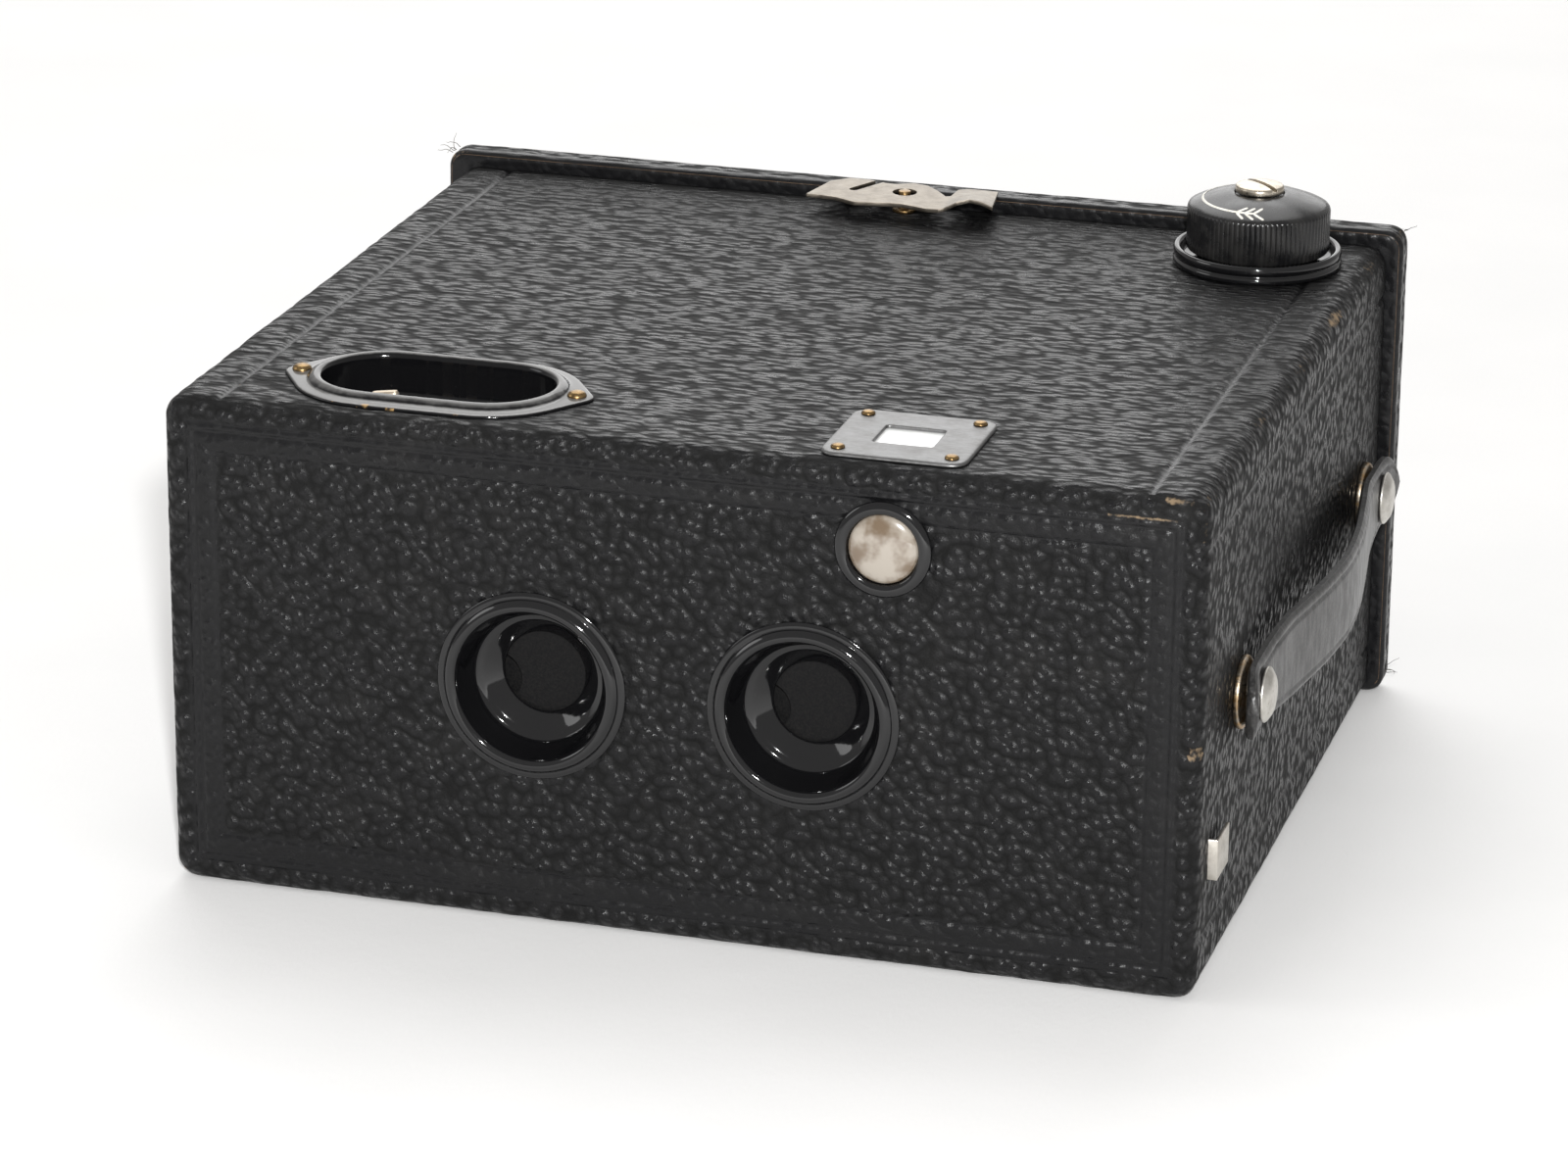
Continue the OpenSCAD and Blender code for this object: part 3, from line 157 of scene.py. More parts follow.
class Look:
    """A procedural material: its values are set by keyword, and its nodes are added one by one."""

    def __init__(self, name, **values):
        self.material = bpy.data.materials.new(name)
        self.material.use_nodes = True
        self.tree = self.material.node_tree
        self.shader = self.tree.nodes["Principled BSDF"]
        for key, value in values.items():
            self.put(key, value)
        self.place = self.add("TexCoord").outputs["Object"]

    def add(self, kind, inputs=(), **settings):
        node = self.tree.nodes.new("ShaderNode" + kind)
        for key, value in settings.items():
            setattr(node, key, value)
        for key, value in dict(inputs).items():
            self.link(node.inputs[key], value)
        return node

    def link(self, socket, value):
        if isinstance(value, bpy.types.NodeSocket):
            self.tree.links.new(value, socket)
        elif isinstance(value, tuple) and len(value) == 3 and len(socket.default_value) == 4:
            socket.default_value = (*value, 1)
        else:
            socket.default_value = value

    def put(self, key, value):
        self.link(self.shader.inputs[SOCKETS[key]], value)

    def stretch(self, place, x, y, z):
        """A place, stretched: a pattern grows along an axis as its factor shrinks."""
        return self.add("Mapping", {"Vector": place, "Scale": (x, y, z)}).outputs["Vector"]

    def scaled(self, x, y, z):
        return self.stretch(self.place, x, y, z)

    def noise(self, size, detail=3.0, rough=0.55, place=None):
        """Soft noise from 0 to 1 with spots of about that size."""
        inputs = {"Vector": place or self.place, "Scale": 1 / size, "Detail": detail, "Roughness": rough}
        return self.add("TexNoise", inputs).outputs["Fac"]

    def cells(self, size, place):
        """Rounded cells of about that size: 0 at their middles."""
        inputs = {"Vector": place, "Scale": 1 / size, "Smoothness": 0.35}
        return self.add("TexVoronoi", inputs, feature="SMOOTH_F1").outputs["Distance"]

    def math(self, kind, a, b):
        return self.add("Math", {0: a, 1: b}, operation=kind).outputs[0]

    def plus(self, a, b):
        return self.math("ADD", a, b)

    def minus(self, a, b):
        return self.math("SUBTRACT", a, b)

    def times(self, a, b):
        return self.math("MULTIPLY", a, b)

    def mark(self, name):
        """A value that the mesh holds at its points."""
        return self.add("Attribute", attribute_name=name).outputs["Fac"]

    def tilt(self):
        """How far a surface faces up: 1 on a level face, 0 on an upright one."""
        facing = self.add("NewGeometry").outputs["Normal"]
        return self.add("SeparateXYZ", {0: facing}).outputs["Z"]

    def span(self, value, low, high, out_low=0.0, out_high=1.0):
        """value, taken from low..high to out_low..out_high with soft ends."""
        inputs = {"Value": value, "From Min": low, "From Max": high}
        inputs |= {"To Min": out_low, "To Max": out_high}
        return self.add("MapRange", inputs, interpolation_type="SMOOTHSTEP").outputs["Result"]

    def mix(self, share, a, b):
        inputs = {"Factor": share, 6: a, 7: b}
        return self.add("Mix", inputs, data_type="RGBA").outputs[2]

    def tint(self, value, low, high, a, b):
        """Colour a where value is low, and b where it is high."""
        return self.mix(self.span(value, low, high), a, b)

    def blend(self, share, a, b):
        return self.add("Mix", {"Factor": share, 2: a, 3: b}, data_type="FLOAT").outputs[0]

    def drift(self, amount, size):
        """The place, pushed about by noise so that a pattern isn't regular."""
        inputs = {"Vector": self.place, "Scale": 1 / size, "Detail": 2.0}
        swirl = self.add("TexNoise", inputs).outputs["Color"]
        middle = self.add("VectorMath", {0: swirl, 1: (0.5, 0.5, 0.5)}, operation="SUBTRACT").outputs[0]
        push = self.add("VectorMath", {0: middle, "Scale": amount}, operation="SCALE").outputs[0]
        return self.add("VectorMath", {0: self.place, 1: push}, operation="ADD").outputs[0]

    def bump(self, height, depth, strength=1.0):
        node = self.add("Bump", {"Height": height, "Strength": strength, "Distance": depth})
        self.tree.links.new(node.outputs["Normal"], self.shader.inputs["Normal"])


def leatherette_look():
    """Black leatherette: round pebbles on upright faces, short crosswise creases on level ones. Its
    colour is darker in the grain's hollows, a painted shade, except on pressed lines.
    """
    look = Look("leatherette", specular=0.26)
    pushed = look.drift(2.2 * MM, 6 * MM)
    pebbles = look.cells(1.25 * MM, look.stretch(pushed, 0.75, 0.75, 0.8))
    creases = look.cells(1.2 * MM, look.stretch(pushed, 0.42, 1.05, 1.0))
    level = look.span(look.math("ABSOLUTE", look.tilt(), 0.0), 0.55, 0.9)
    grain = look.blend(level, pebbles, creases)
    fine = look.noise(0.3 * MM, 2.0)
    patches = look.noise(11 * MM, 4.0)
    swell = look.times(grain, look.blend(level, 0.95, 0.7))
    height = look.minus(look.times(fine, 0.16), swell)
    pressed = look.mark("pressed")
    relief = look.times(height, look.blend(pressed, 1.0, 0.25))
    look.bump(relief, 0.8 * MM)
    raised = look.minus(1.0, pressed)
    # Painted shade: the colour darkens in the grain's hollows, but not on pressed lines.
    crevice_shade = look.times(look.span(grain, 0.3, 0.72), raised)
    skin = look.mix(crevice_shade, (0.006, 0.006, 0.0066), (0.0015, 0.0015, 0.0015))
    dusty = look.mix(look.span(patches, 0.5, 0.75, 0.0, 0.3), skin, (0.018, 0.0172, 0.0165))
    ragged = look.plus(look.mark("wear"), look.times(look.noise(0.9 * MM, 4.0), 0.9))
    worn = look.span(ragged, 1.02, 1.3)
    look.put("colour", look.mix(worn, dusty, (0.2, 0.145, 0.09)))
    shine = look.span(look.noise(3.5 * MM, 3.0), 0.3, 0.7, 0.24, 0.38)
    look.put("rough", look.blend(worn, look.blend(crevice_shade, shine, 0.75), 0.85))
    return look.material


def enamel_look(name, low, high, specular, dulling_and_glare=False):
    """Gloss black enamel on tin, with faint scratches, dust and brown wear spots on its edges.

    Its roughness runs from low to high. With glare on, its level faces are painted a lighter grey, most
    where they point up: a painted reflection, mottled by noise like smears.
    """
    look = Look(name, specular=specular)
    scratches = look.noise(0.5 * MM, 3.0, place=look.scaled(1, 6, 1))
    dust = look.span(look.noise(0.35 * MM, 5.0, 0.7), 0.66, 0.8)
    base = look.mix(dust, (0.004, 0.004, 0.0045), (0.05, 0.048, 0.045))
    if dulling_and_glare:
        # Painted reflection: faces that point up get a lighter grey, standing in for glare, with a little
        # noise for smears.
        smear = look.plus(look.tilt(), look.times(look.noise(2 * MM, 4.0), 0.3))
        base = look.tint(smear, 0.85, 1.12, base, (0.12, 0.118, 0.115))
    ragged = look.plus(look.mark("wear"), look.times(look.noise(1.6 * MM, 4.0), 0.8))
    look.put("colour", look.tint(ragged, 1.0, 1.12, base, (0.35, 0.22, 0.09)))
    look.put("rough", look.span(scratches, 0.3, 0.75, low, high))
    look.bump(look.noise(4 * MM, 3.0), 0.06 * MM, 0.35)
    return look.material


def satin_metal_look(name, light, dark, stain, rough=(0.28, 0.5), size=2.2):
    """Worn plated metal: cloudy tarnish of a size in millimetres, fine scratches and dark stains."""
    look = Look(name, metal=1.0)
    clouds = look.noise(size * MM, 5.0, 0.6)
    base = look.tint(clouds, 0.35, 0.7, light, dark)
    spots = look.span(look.noise(0.7 * MM, 4.0, 0.7), 0.63, 0.74)
    look.put("colour", look.mix(spots, base, stain))
    scratches = look.noise(0.4 * MM, 4.0, 0.7, look.scaled(0.25, 1.6, 1))
    look.put("rough", look.span(scratches, 0.3, 0.7, *rough))
    look.bump(look.plus(scratches, clouds), 0.03 * MM, 0.5)
    return look.material


def dull_black_look():
    """Matt black paint against stray light, faintly dusty."""
    look = Look("dull_black", specular=0.15)
    grain = look.noise(0.3 * MM, 5.0, 0.7)
    dusty = look.span(grain, 0.35, 0.75)
    look.put("colour", look.mix(dusty, (0.003, 0.003, 0.0035), (0.012, 0.0115, 0.011)))
    look.put("rough", look.span(grain, 0.3, 0.7, 0.55, 0.8))
    look.bump(grain, 0.05 * MM, 0.5)
    return look.material


def wood_look():
    """Softwood board: long grain along the case, stained dark and uneven."""
    look = Look("wood", specular=0.3)
    pushed = look.drift(5 * MM, 30 * MM)
    rings = look.noise(1.5 * MM, 6.0, 0.65, look.stretch(pushed, 0.07, 1.0, 1.0))
    pores = look.noise(0.25 * MM, 3.0, 0.6, look.scaled(0.05, 1.0, 1.0))
    base = look.tint(rings, 0.35, 0.65, (0.24, 0.15, 0.085), (0.12, 0.07, 0.038))
    look.put("colour", look.tint(pores, 0.58, 0.7, base, (0.05, 0.03, 0.018)))
    look.put("rough", look.span(rings, 0.3, 0.7, 0.5, 0.72))
    look.bump(look.plus(rings, pores), 0.12 * MM, 0.5)
    return look.material


def strap_look():
    """Worn strap leather, dark grey, with a fine grain and pale scuffs."""
    look = Look("strap_leather", specular=0.5, coat=0.15, coat_rough=0.35)
    pushed = look.drift(0.6 * MM, 2 * MM)
    grain = look.cells(0.42 * MM, pushed)
    creases = look.noise(1.6 * MM, 5.0, 0.6, look.scaled(1, 1.4, 0.35))
    scuffs = look.span(look.noise(5 * MM, 5.0, 0.65), 0.52, 0.75, 0.0, 0.75)
    base = look.tint(grain, 0.2, 0.7, (0.034, 0.033, 0.032), (0.016, 0.0155, 0.0155))
    look.put("colour", look.mix(scuffs, base, (0.07, 0.067, 0.064)))
    look.put("rough", look.span(creases, 0.3, 0.7, 0.3, 0.48))
    height = look.minus(look.times(creases, 1.4), look.times(grain, 0.5))
    look.bump(height, 0.06 * MM, 0.7)
    return look.material


def finder_lens_look():
    """Milky old finder lens, warm grey, with a clear polished face."""
    look = Look("finder_lens", coat=1.0, coat_rough=0.02, ior=1.52, rough=0.18)
    haze = look.noise(4.2 * MM, 3.0)
    look.put("colour", look.tint(haze, 0.35, 0.62, (0.13, 0.09, 0.055), (0.32, 0.285, 0.24)))
    look.bump(look.noise(3 * MM, 2.0), 0.02 * MM, 0.3)
    return look.material


def ground_glass_look():
    """Finely ground viewing glass with a faint glow of its own: painted light for the bright image that
    the finder shows.
    """
    look = Look("ground_glass", rough=0.35, coat=0.5, coat_rough=0.12)
    haze = look.noise(1.5 * MM, 4.0)
    tone_and_glow = look.tint(haze, 0.25, 0.75, (0.86, 0.87, 0.86), (0.98, 0.98, 0.97))
    look.put("colour", tone_and_glow)
    # Painted light: the glass glows faintly in its own tone, though it is no lamp.
    look.put("glow_colour", tone_and_glow)
    look.put("glow", 0.12)
    look.bump(look.noise(0.12 * MM, 2.0), 0.01 * MM, 0.4)
    return look.material


def clear_glass_look():
    """Lens glass with a faint smear."""
    look = Look("glass", glassy=1.0, ior=1.52)
    smear = look.noise(3 * MM, 4.0)
    look.put("colour", look.tint(smear, 0.3, 0.8, (0.96, 0.98, 0.97), (0.88, 0.92, 0.9)))
    look.put("rough", look.span(smear, 0.3, 0.8, 0.01, 0.06))
    return look.material


def mirror_look():
    """Silvered mirror with old dull spots."""
    look = Look("mirror", metal=1.0)
    spots = look.span(look.noise(1.2 * MM, 5.0, 0.7), 0.6, 0.72)
    look.put("colour", look.mix(spots, (0.86, 0.88, 0.9), (0.3, 0.28, 0.25)))
    look.put("rough", look.span(spots, 0.0, 1.0, 0.03, 0.4))
    return look.material


def ruby_look():
    """Dark red celluloid, a little cloudy."""
    look = Look("ruby", coat=0.6, coat_rough=0.08, ior=1.5)
    cloud = look.noise(4 * MM, 4.0)
    look.put("colour", look.tint(cloud, 0.3, 0.7, (0.32, 0.012, 0.01), (0.18, 0.008, 0.008)))
    look.put("rough", look.span(cloud, 0.3, 0.7, 0.12, 0.25))
    return look.material


def spool_look():
    """Red painted spool, chipped."""
    look = Look("spool_red", coat=0.2, coat_rough=0.2)
    chips = look.span(look.noise(1.3 * MM, 6.0, 0.7), 0.62, 0.7)
    tone = look.noise(8 * MM, 3.0)
    paint = look.tint(tone, 0.3, 0.7, (0.2, 0.02, 0.015), (0.13, 0.012, 0.01))
    look.put("colour", look.mix(chips, paint, (0.35, 0.33, 0.3)))
    look.put("rough", look.span(tone, 0.3, 0.7, 0.35, 0.5))
    look.bump(chips, 0.04 * MM, 0.5)
    return look.material


def arrow_paint_look():
    """Cream paint, rubbed thin in places."""
    look = Look("arrow_paint", rough=0.55)
    wear = look.noise(0.5 * MM, 4.0)
    look.put("colour", look.tint(wear, 0.4, 0.75, (0.85, 0.83, 0.76), (0.6, 0.57, 0.5)))
    look.bump(wear, 0.03 * MM, 0.4)
    return look.material


def knob_look():
    """Black lacquer made dull by fingers, so that it reflects softly."""
    look = Look("knob_lacquer", specular=0.4)
    smear = look.noise(3 * MM, 4.0)
    dulling_and_glare = look.span(smear, 0.35, 0.7)
    look.put("colour", look.mix(dulling_and_glare, (0.006, 0.006, 0.0065), (0.016, 0.0155, 0.015)))
    look.put("rough", look.span(smear, 0.3, 0.7, 0.2, 0.32))
    look.bump(look.noise(0.3 * MM, 3.0), 0.02 * MM, 0.4)
    return look.material


def thread_look():
    """Grey cotton."""
    look = Look("thread", rough=0.9)
    fibre = look.noise(0.3 * MM, 3.0)
    look.put("colour", look.mix(fibre, (0.03, 0.03, 0.03), (0.12, 0.11, 0.1)))
    return look.material


def table_look():
    """White table cloth with a faint weave and soft creases, a little darker where the folds sink:
    painted shade.
    """
    look = Look("table_cloth", rough=0.85, specular=0.2)
    weave = look.noise(0.6 * MM, 3.0, 0.6, look.scaled(1, 0.35, 1))
    folds = look.noise(40 * MM, 3.0, 0.4)
    # Painted shade: the cloth's colour is a little darker where the folds sink.
    look.put("colour", look.mix(folds, (0.83, 0.83, 0.825), (0.89, 0.885, 0.88)))
    look.bump(look.plus(look.times(weave, 0.15), folds), 1.5 * MM, 0.25)
    return look.material


# ---- mesh helpers --------------------------------------------------------------------------------


def middle(node):
    low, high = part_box(node)
    return (low + high) / 2


def radius(node, axis):
    """Half of a round node's width along an axis, in millimetres."""
    low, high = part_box(node)
    return (high[axis] - low[axis]) / 2 / MM


def foot(node):
    """The middle of a node's underside."""
    centre = middle(node)
    centre.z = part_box(node)[0].z
    return centre


def front_centre(node):
    """A node's middle, moved onto the front of the case."""
    centre = middle(node)
    centre.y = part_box("front_leatherette")[0].y
    return centre


def made_mesh(name, bm):
    """A bmesh as a mesh of that name."""
    mesh = bpy.data.meshes.new(name)
    bm.to_mesh(mesh)
    bm.free()
    return mesh


def placed(name, mesh):
    """A mesh as an object in the scene."""
    thing = bpy.data.objects.new(name, mesh)
    bpy.context.scene.collection.objects.link(thing)
    return thing


def new_piece(name, body, look, slot, bm=None, mesh=None, replaces=(), sharp=35):
    """An object made from a bmesh or a mesh that rides on a body and has its look. slot is not used."""
    if mesh is None:
        mesh = made_mesh(name, bm)
    mesh.polygons.foreach_set("use_smooth", [True] * len(mesh.polygons))
    mesh.set_sharp_from_angle(angle=math.radians(sharp))
    mesh.materials.clear()
    mesh.materials.append(look)
    piece = placed(name, mesh)
    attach(piece, body)
    if replaces:
        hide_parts(*replaces)
    return piece


def chaikin(rows, times=2, loop=False):
    """Rows of points with their corners cut, again and again, until they are round."""
    rows = np.asarray(rows, float)
    for _ in range(times):
        ahead = np.roll(rows, -1, 0)
        near, far = 0.75 * rows + 0.25 * ahead, 0.25 * rows + 0.75 * ahead
        cut = np.stack((near, far), 1).reshape(-1, *rows.shape[1:])
        rows = cut if loop else np.concatenate((rows[:1], cut[1:-3], rows[-1:]))
    return rows


def loft_mesh(rings, loop=False, ends=True):
    """Skin over closed rings of points. loop joins the last ring to the first; ends closes both."""
    bm = bmesh.new()
    rows = [[bm.verts.new(Vector(p)) for p in ring] for ring in rings]
    pairs = list(zip(rows, rows[1:]))
    if loop:
        pairs.append((rows[-1], rows[0]))
    for low, high in pairs:
        for i in range(len(low)):
            j = (i + 1) % len(low)
            bm.faces.new((low[i], low[j], high[j], high[i]))
    if ends and not loop:
        for row in (rows[0], rows[-1]):
            hub = bm.verts.new(sum((v.co for v in row), Vector()) / len(row))
            for i in range(len(row)):
                bm.faces.new((row[i], row[(i + 1) % len(row)], hub))
    bmesh.ops.recalc_face_normals(bm, faces=bm.faces)
    return bm


# for each axis of turning: the two directions across it, and its own
AXES = {
    "x": ((0, 1, 0), (0, 0, 1), (1, 0, 0)),
    "y": ((1, 0, 0), (0, 0, 1), (0, 1, 0)),
    "z": ((1, 0, 0), (0, 1, 0), (0, 0, 1)),
}
LEAST_R = 0.005 * MM


def turned_rings(profile, centre, axis, steps):
    """Circles from a profile of radius and place along an axis."""
    side, up, along = (Vector(v) for v in AXES[axis])
    centre = Vector(centre)
    return [
        [
            centre + float(h) * along + max(float(r), LEAST_R) * (math.cos(a) * side + math.sin(a) * up)
            for a in (2 * math.pi * i / steps for i in range(steps))
        ]
        for r, h in profile
    ]


def lathe_mesh(profile, centre, axis, steps, rounds=2, loop=False):
    """A turned solid, its profile's corners softened that many times."""
    return loft_mesh(turned_rings(chaikin(profile, rounds, loop), centre, axis, steps), loop)


def mm(rows):
    """Rows of millimetres in metres."""
    return [[value * MM for value in row] for row in rows]


def join_meshes(parts):
    """Several bmeshes as one."""
    whole = bmesh.new()
    for bm in parts:
        mesh = made_mesh("part", bm)
        whole.from_mesh(mesh)
        bpy.data.meshes.remove(mesh)
    return whole


def carve(piece, cutters):
    """Takes closed bmeshes away from a piece's mesh."""
    for bm in cutters:
        mesh = made_mesh("cutter", bm)
        tool = placed("cutter", mesh)
        cut = piece.modifiers.new("cut", "BOOLEAN")
        cut.object = tool
        cut.operation = "DIFFERENCE"
        cut.solver = "EXACT"
        settle(piece)
        bpy.data.objects.remove(tool)
        bpy.data.meshes.remove(mesh)


def settle(piece):
    """Applies a piece's modifiers to its mesh."""
    bpy.context.view_layer.update()
    graph = bpy.context.evaluated_depsgraph_get()
    done = bpy.data.meshes.new_from_object(piece.evaluated_get(graph))
    piece.modifiers.clear()
    old = piece.data
    piece.data = done
    bpy.data.meshes.remove(old)


def thicken(piece, thickness):
    """Gives a surface a thickness behind it."""
    skin = piece.modifiers.new("thickness", "SOLIDIFY")
    skin.thickness = thickness
    skin.offset = -1
    settle(piece)


def round_edges(piece, width, angle=30):
    """Rounds a piece's edges that are sharper than an angle in degrees."""
    bevel = piece.modifiers.new("round_edges", "BEVEL")
    bevel.width = width
    bevel.segments = 2
    bevel.limit_method = "ANGLE"
    bevel.angle_limit = math.radians(angle)
    settle(piece)
    piece.data.polygons.foreach_set("use_smooth", [True] * len(piece.data.polygons))
    piece.data.set_sharp_from_angle(angle=math.radians(50))


def softened(node, look, slot, width):
    """A copy of a CAD node with its edges rounded, which stands for it."""
    source = frame["nodes"][node]
    bm = bmesh.new()
    bm.from_mesh(source.data)
    bmesh.ops.remove_doubles(bm, verts=bm.verts, dist=0.002 * MM)
    bmesh.ops.dissolve_limit(bm, angle_limit=math.radians(0.5), verts=bm.verts, edges=bm.edges)
    piece = new_piece("smooth_" + node, source["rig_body"], look, slot, bm, replaces=(node,))
    round_edges(piece, width)
    return piece


# ---- a covering stretched over a box -------------------------------------------------------------

EDGE_STEPS = 6
GROOVE_W = 0.5 * MM


def grid_marks(low, high, step, edge_r, round_high=True, lines=(), cuts=()):
    """Places of a mesh's lines along one axis, close together at round edges and pressed lines."""
    fixed = [low, high, *cuts]
    bends = [edge_r * math.tan(math.pi / 4 * k / EDGE_STEPS) for k in range(EDGE_STEPS)]
    fixed += [low + edge_r - b for b in bends]
    if round_high:
        fixed += [high - edge_r + b for b in bends]
    for line in lines:
        fixed += [line + k * GROOVE_W * 0.6 for k in range(-3, 4)]
    fixed = sorted(fixed)
    fixed = [v for i, v in enumerate(fixed) if i == 0 or v - fixed[i - 1] > 0.02 * MM]
    count = round((high - low) / step)
    even = (low + (high - low) * k / count for k in range(1, count))
    return sorted(fixed + [v for v in even if min(abs(v - f) for f in fixed) > 0.4 * step])


def box_shell(marks, open_sides=()):
    """Points and outward quads on the sides of a box. A side is (axis, is it the high end)."""
    points, quads, ids = [], [], {}

    def point(place):
        if place not in ids:
            ids[place] = len(points)
            points.append([marks[a][place[a]] for a in range(3)])
        return ids[place]

    for axis in range(3):
        b, c = (axis + 1) % 3, (axis + 2) % 3
        for end in (0, len(marks[axis]) - 1):
            if (axis, end > 0) in open_sides:
                continue
            for i in range(len(marks[b]) - 1):
                for j in range(len(marks[c]) - 1):
                    quad = []
                    for step_b, step_c in ((0, 0), (1, 0), (1, 1), (0, 1)):
                        place = [end, end, end]
                        place[b], place[c] = i + step_b, j + step_c
                        quad.append(point(tuple(place)))
                    quads.append(quad if end else quad[::-1])
    return np.array(points), np.array(quads)


def rounded_box(points, low, high, r, section_r, open_back=False):
    """The box's points moved onto round edges of radius r, and their outward directions.

    The edges along Y have the larger radius section_r. An open back stays square.
    """
    low, high = np.array(low, float), np.array(high, float)
    core = np.clip(points, low + r, high - r)
    if open_back:
        core[:, 1] = np.clip(points[:, 1], low[1] + r, high[1])
    middle_part = np.clip(points, low + section_r, high - section_r)
    spread = (points - middle_part)[:, [0, 2]]
    length = np.linalg.norm(spread, axis=1, keepdims=True)
    spread *= np.minimum(1, (section_r - r) / np.maximum(length, 1e-9))
    core[:, [0, 2]] = middle_part[:, [0, 2]] + spread
    away = points - core
    away /= np.maximum(np.linalg.norm(away, axis=1, keepdims=True), 1e-9)
    return core + r * away, away


def ripple(points, size, seed):
    """Smooth noise from -1 to 1 at each point, with swells of about that size."""
    shift = Vector((seed * 7.3, seed * 3.1, seed * 5.7))
    return np.array([noise.noise(Vector(p) / size + shift) for p in points])


def groove(distance, width=GROOVE_W):
    """Depth of a pressed line, from 0 to 1, at a distance from its middle."""
    return np.exp(-((distance / width) ** 2))


def frame_distance(u, v, half_u, half_v):
    """Distance of points from a rectangle's outline, about the rectangle's middle."""
    du, dv = np.abs(u) - half_u, np.abs(v) - half_v
    outside = np.hypot(np.maximum(du, 0), np.maximum(dv, 0))
    return np.abs(outside + np.minimum(np.maximum(du, dv), 0))


def cut_hole(points, quads, axis, side, shape, snap=None):
    """quads less those on one side of the box whose middles are inside shape(points).

    snap moves the points round the hole onto its true edge.
    """
    centres = points[quads].mean(1)
    flat = np.ptp(points[quads][:, :, axis], axis=1) < 0.9 * MM
    there = (centres[:, axis] > side) if side > 0 else (centres[:, axis] < side)
    gone = flat & there & shape(centres)
    if snap is not None:
        edge = np.intersect1d(quads[gone], quads[~gone])
        points[edge] = snap(points[edge])
    return quads[~gone]


def disc(axis, centre, r):
    """Tests and snaps for a round hole across an axis."""
    b, c = (axis + 1) % 3, (axis + 2) % 3
    centre = np.array(centre)

    def inside(p):
        return np.hypot(p[:, b] - centre[b], p[:, c] - centre[c]) < r

    def snap(p):
        moved = p.copy()
        away = np.hypot(p[:, b] - centre[b], p[:, c] - centre[c])
        for k in (b, c):
            moved[:, k] = centre[k] + (p[:, k] - centre[k]) * r / away
        return moved

    return inside, snap


def block(low, high, axis):
    """Test for a square hole across an axis."""
    others = [k for k in range(3) if k != axis]

    def inside(p):
        return np.all([(p[:, k] > low[k]) & (p[:, k] < high[k]) for k in others], axis=0)

    return inside


def long_hole(centre, length, width):
    """Test for a round-ended hole along X in a level face."""

    def inside(p):
        along = np.maximum(np.abs(p[:, 0] - centre.x) - (length - width) / 2, 0)
        return np.hypot(along, p[:, 1] - centre.y) < width / 2

    return inside


def shell_piece(name, body, look, points, quads, replaces, **marks):
    """A leatherette skin of even thickness behind a grid of quads. marks are values at its points."""
    used, places = np.unique(quads, return_inverse=True)
    mesh = bpy.data.meshes.new(name)
    mesh.from_pydata(points[used].tolist(), [], places.reshape(quads.shape).tolist())
    for mark, values in marks.items():
        mesh.attributes.new(mark, "FLOAT", "POINT").data.foreach_set("value", values[used])
    piece = new_piece(name, body, look, "leatherette", mesh=mesh, replaces=replaces, sharp=60)
    thicken(piece, SKIN_T)


# ---- the case's covering -------------------------------------------------------------------------

COVER_STEP = 0.9 * MM
CASE_EDGE_R = 2.6 * MM
CASE_SECTION_R = 3.5 * MM
LINE_DEPTH = 0.42 * MM
TOP_LINE_INSET = 8.6 * MM
SIDE_LINE_INSET = 8.2 * MM
FRONT_LINE_INSETS = (3.7 * MM, 5.0 * MM, 8.0 * MM)
SKIN_T = 0.45 * MM


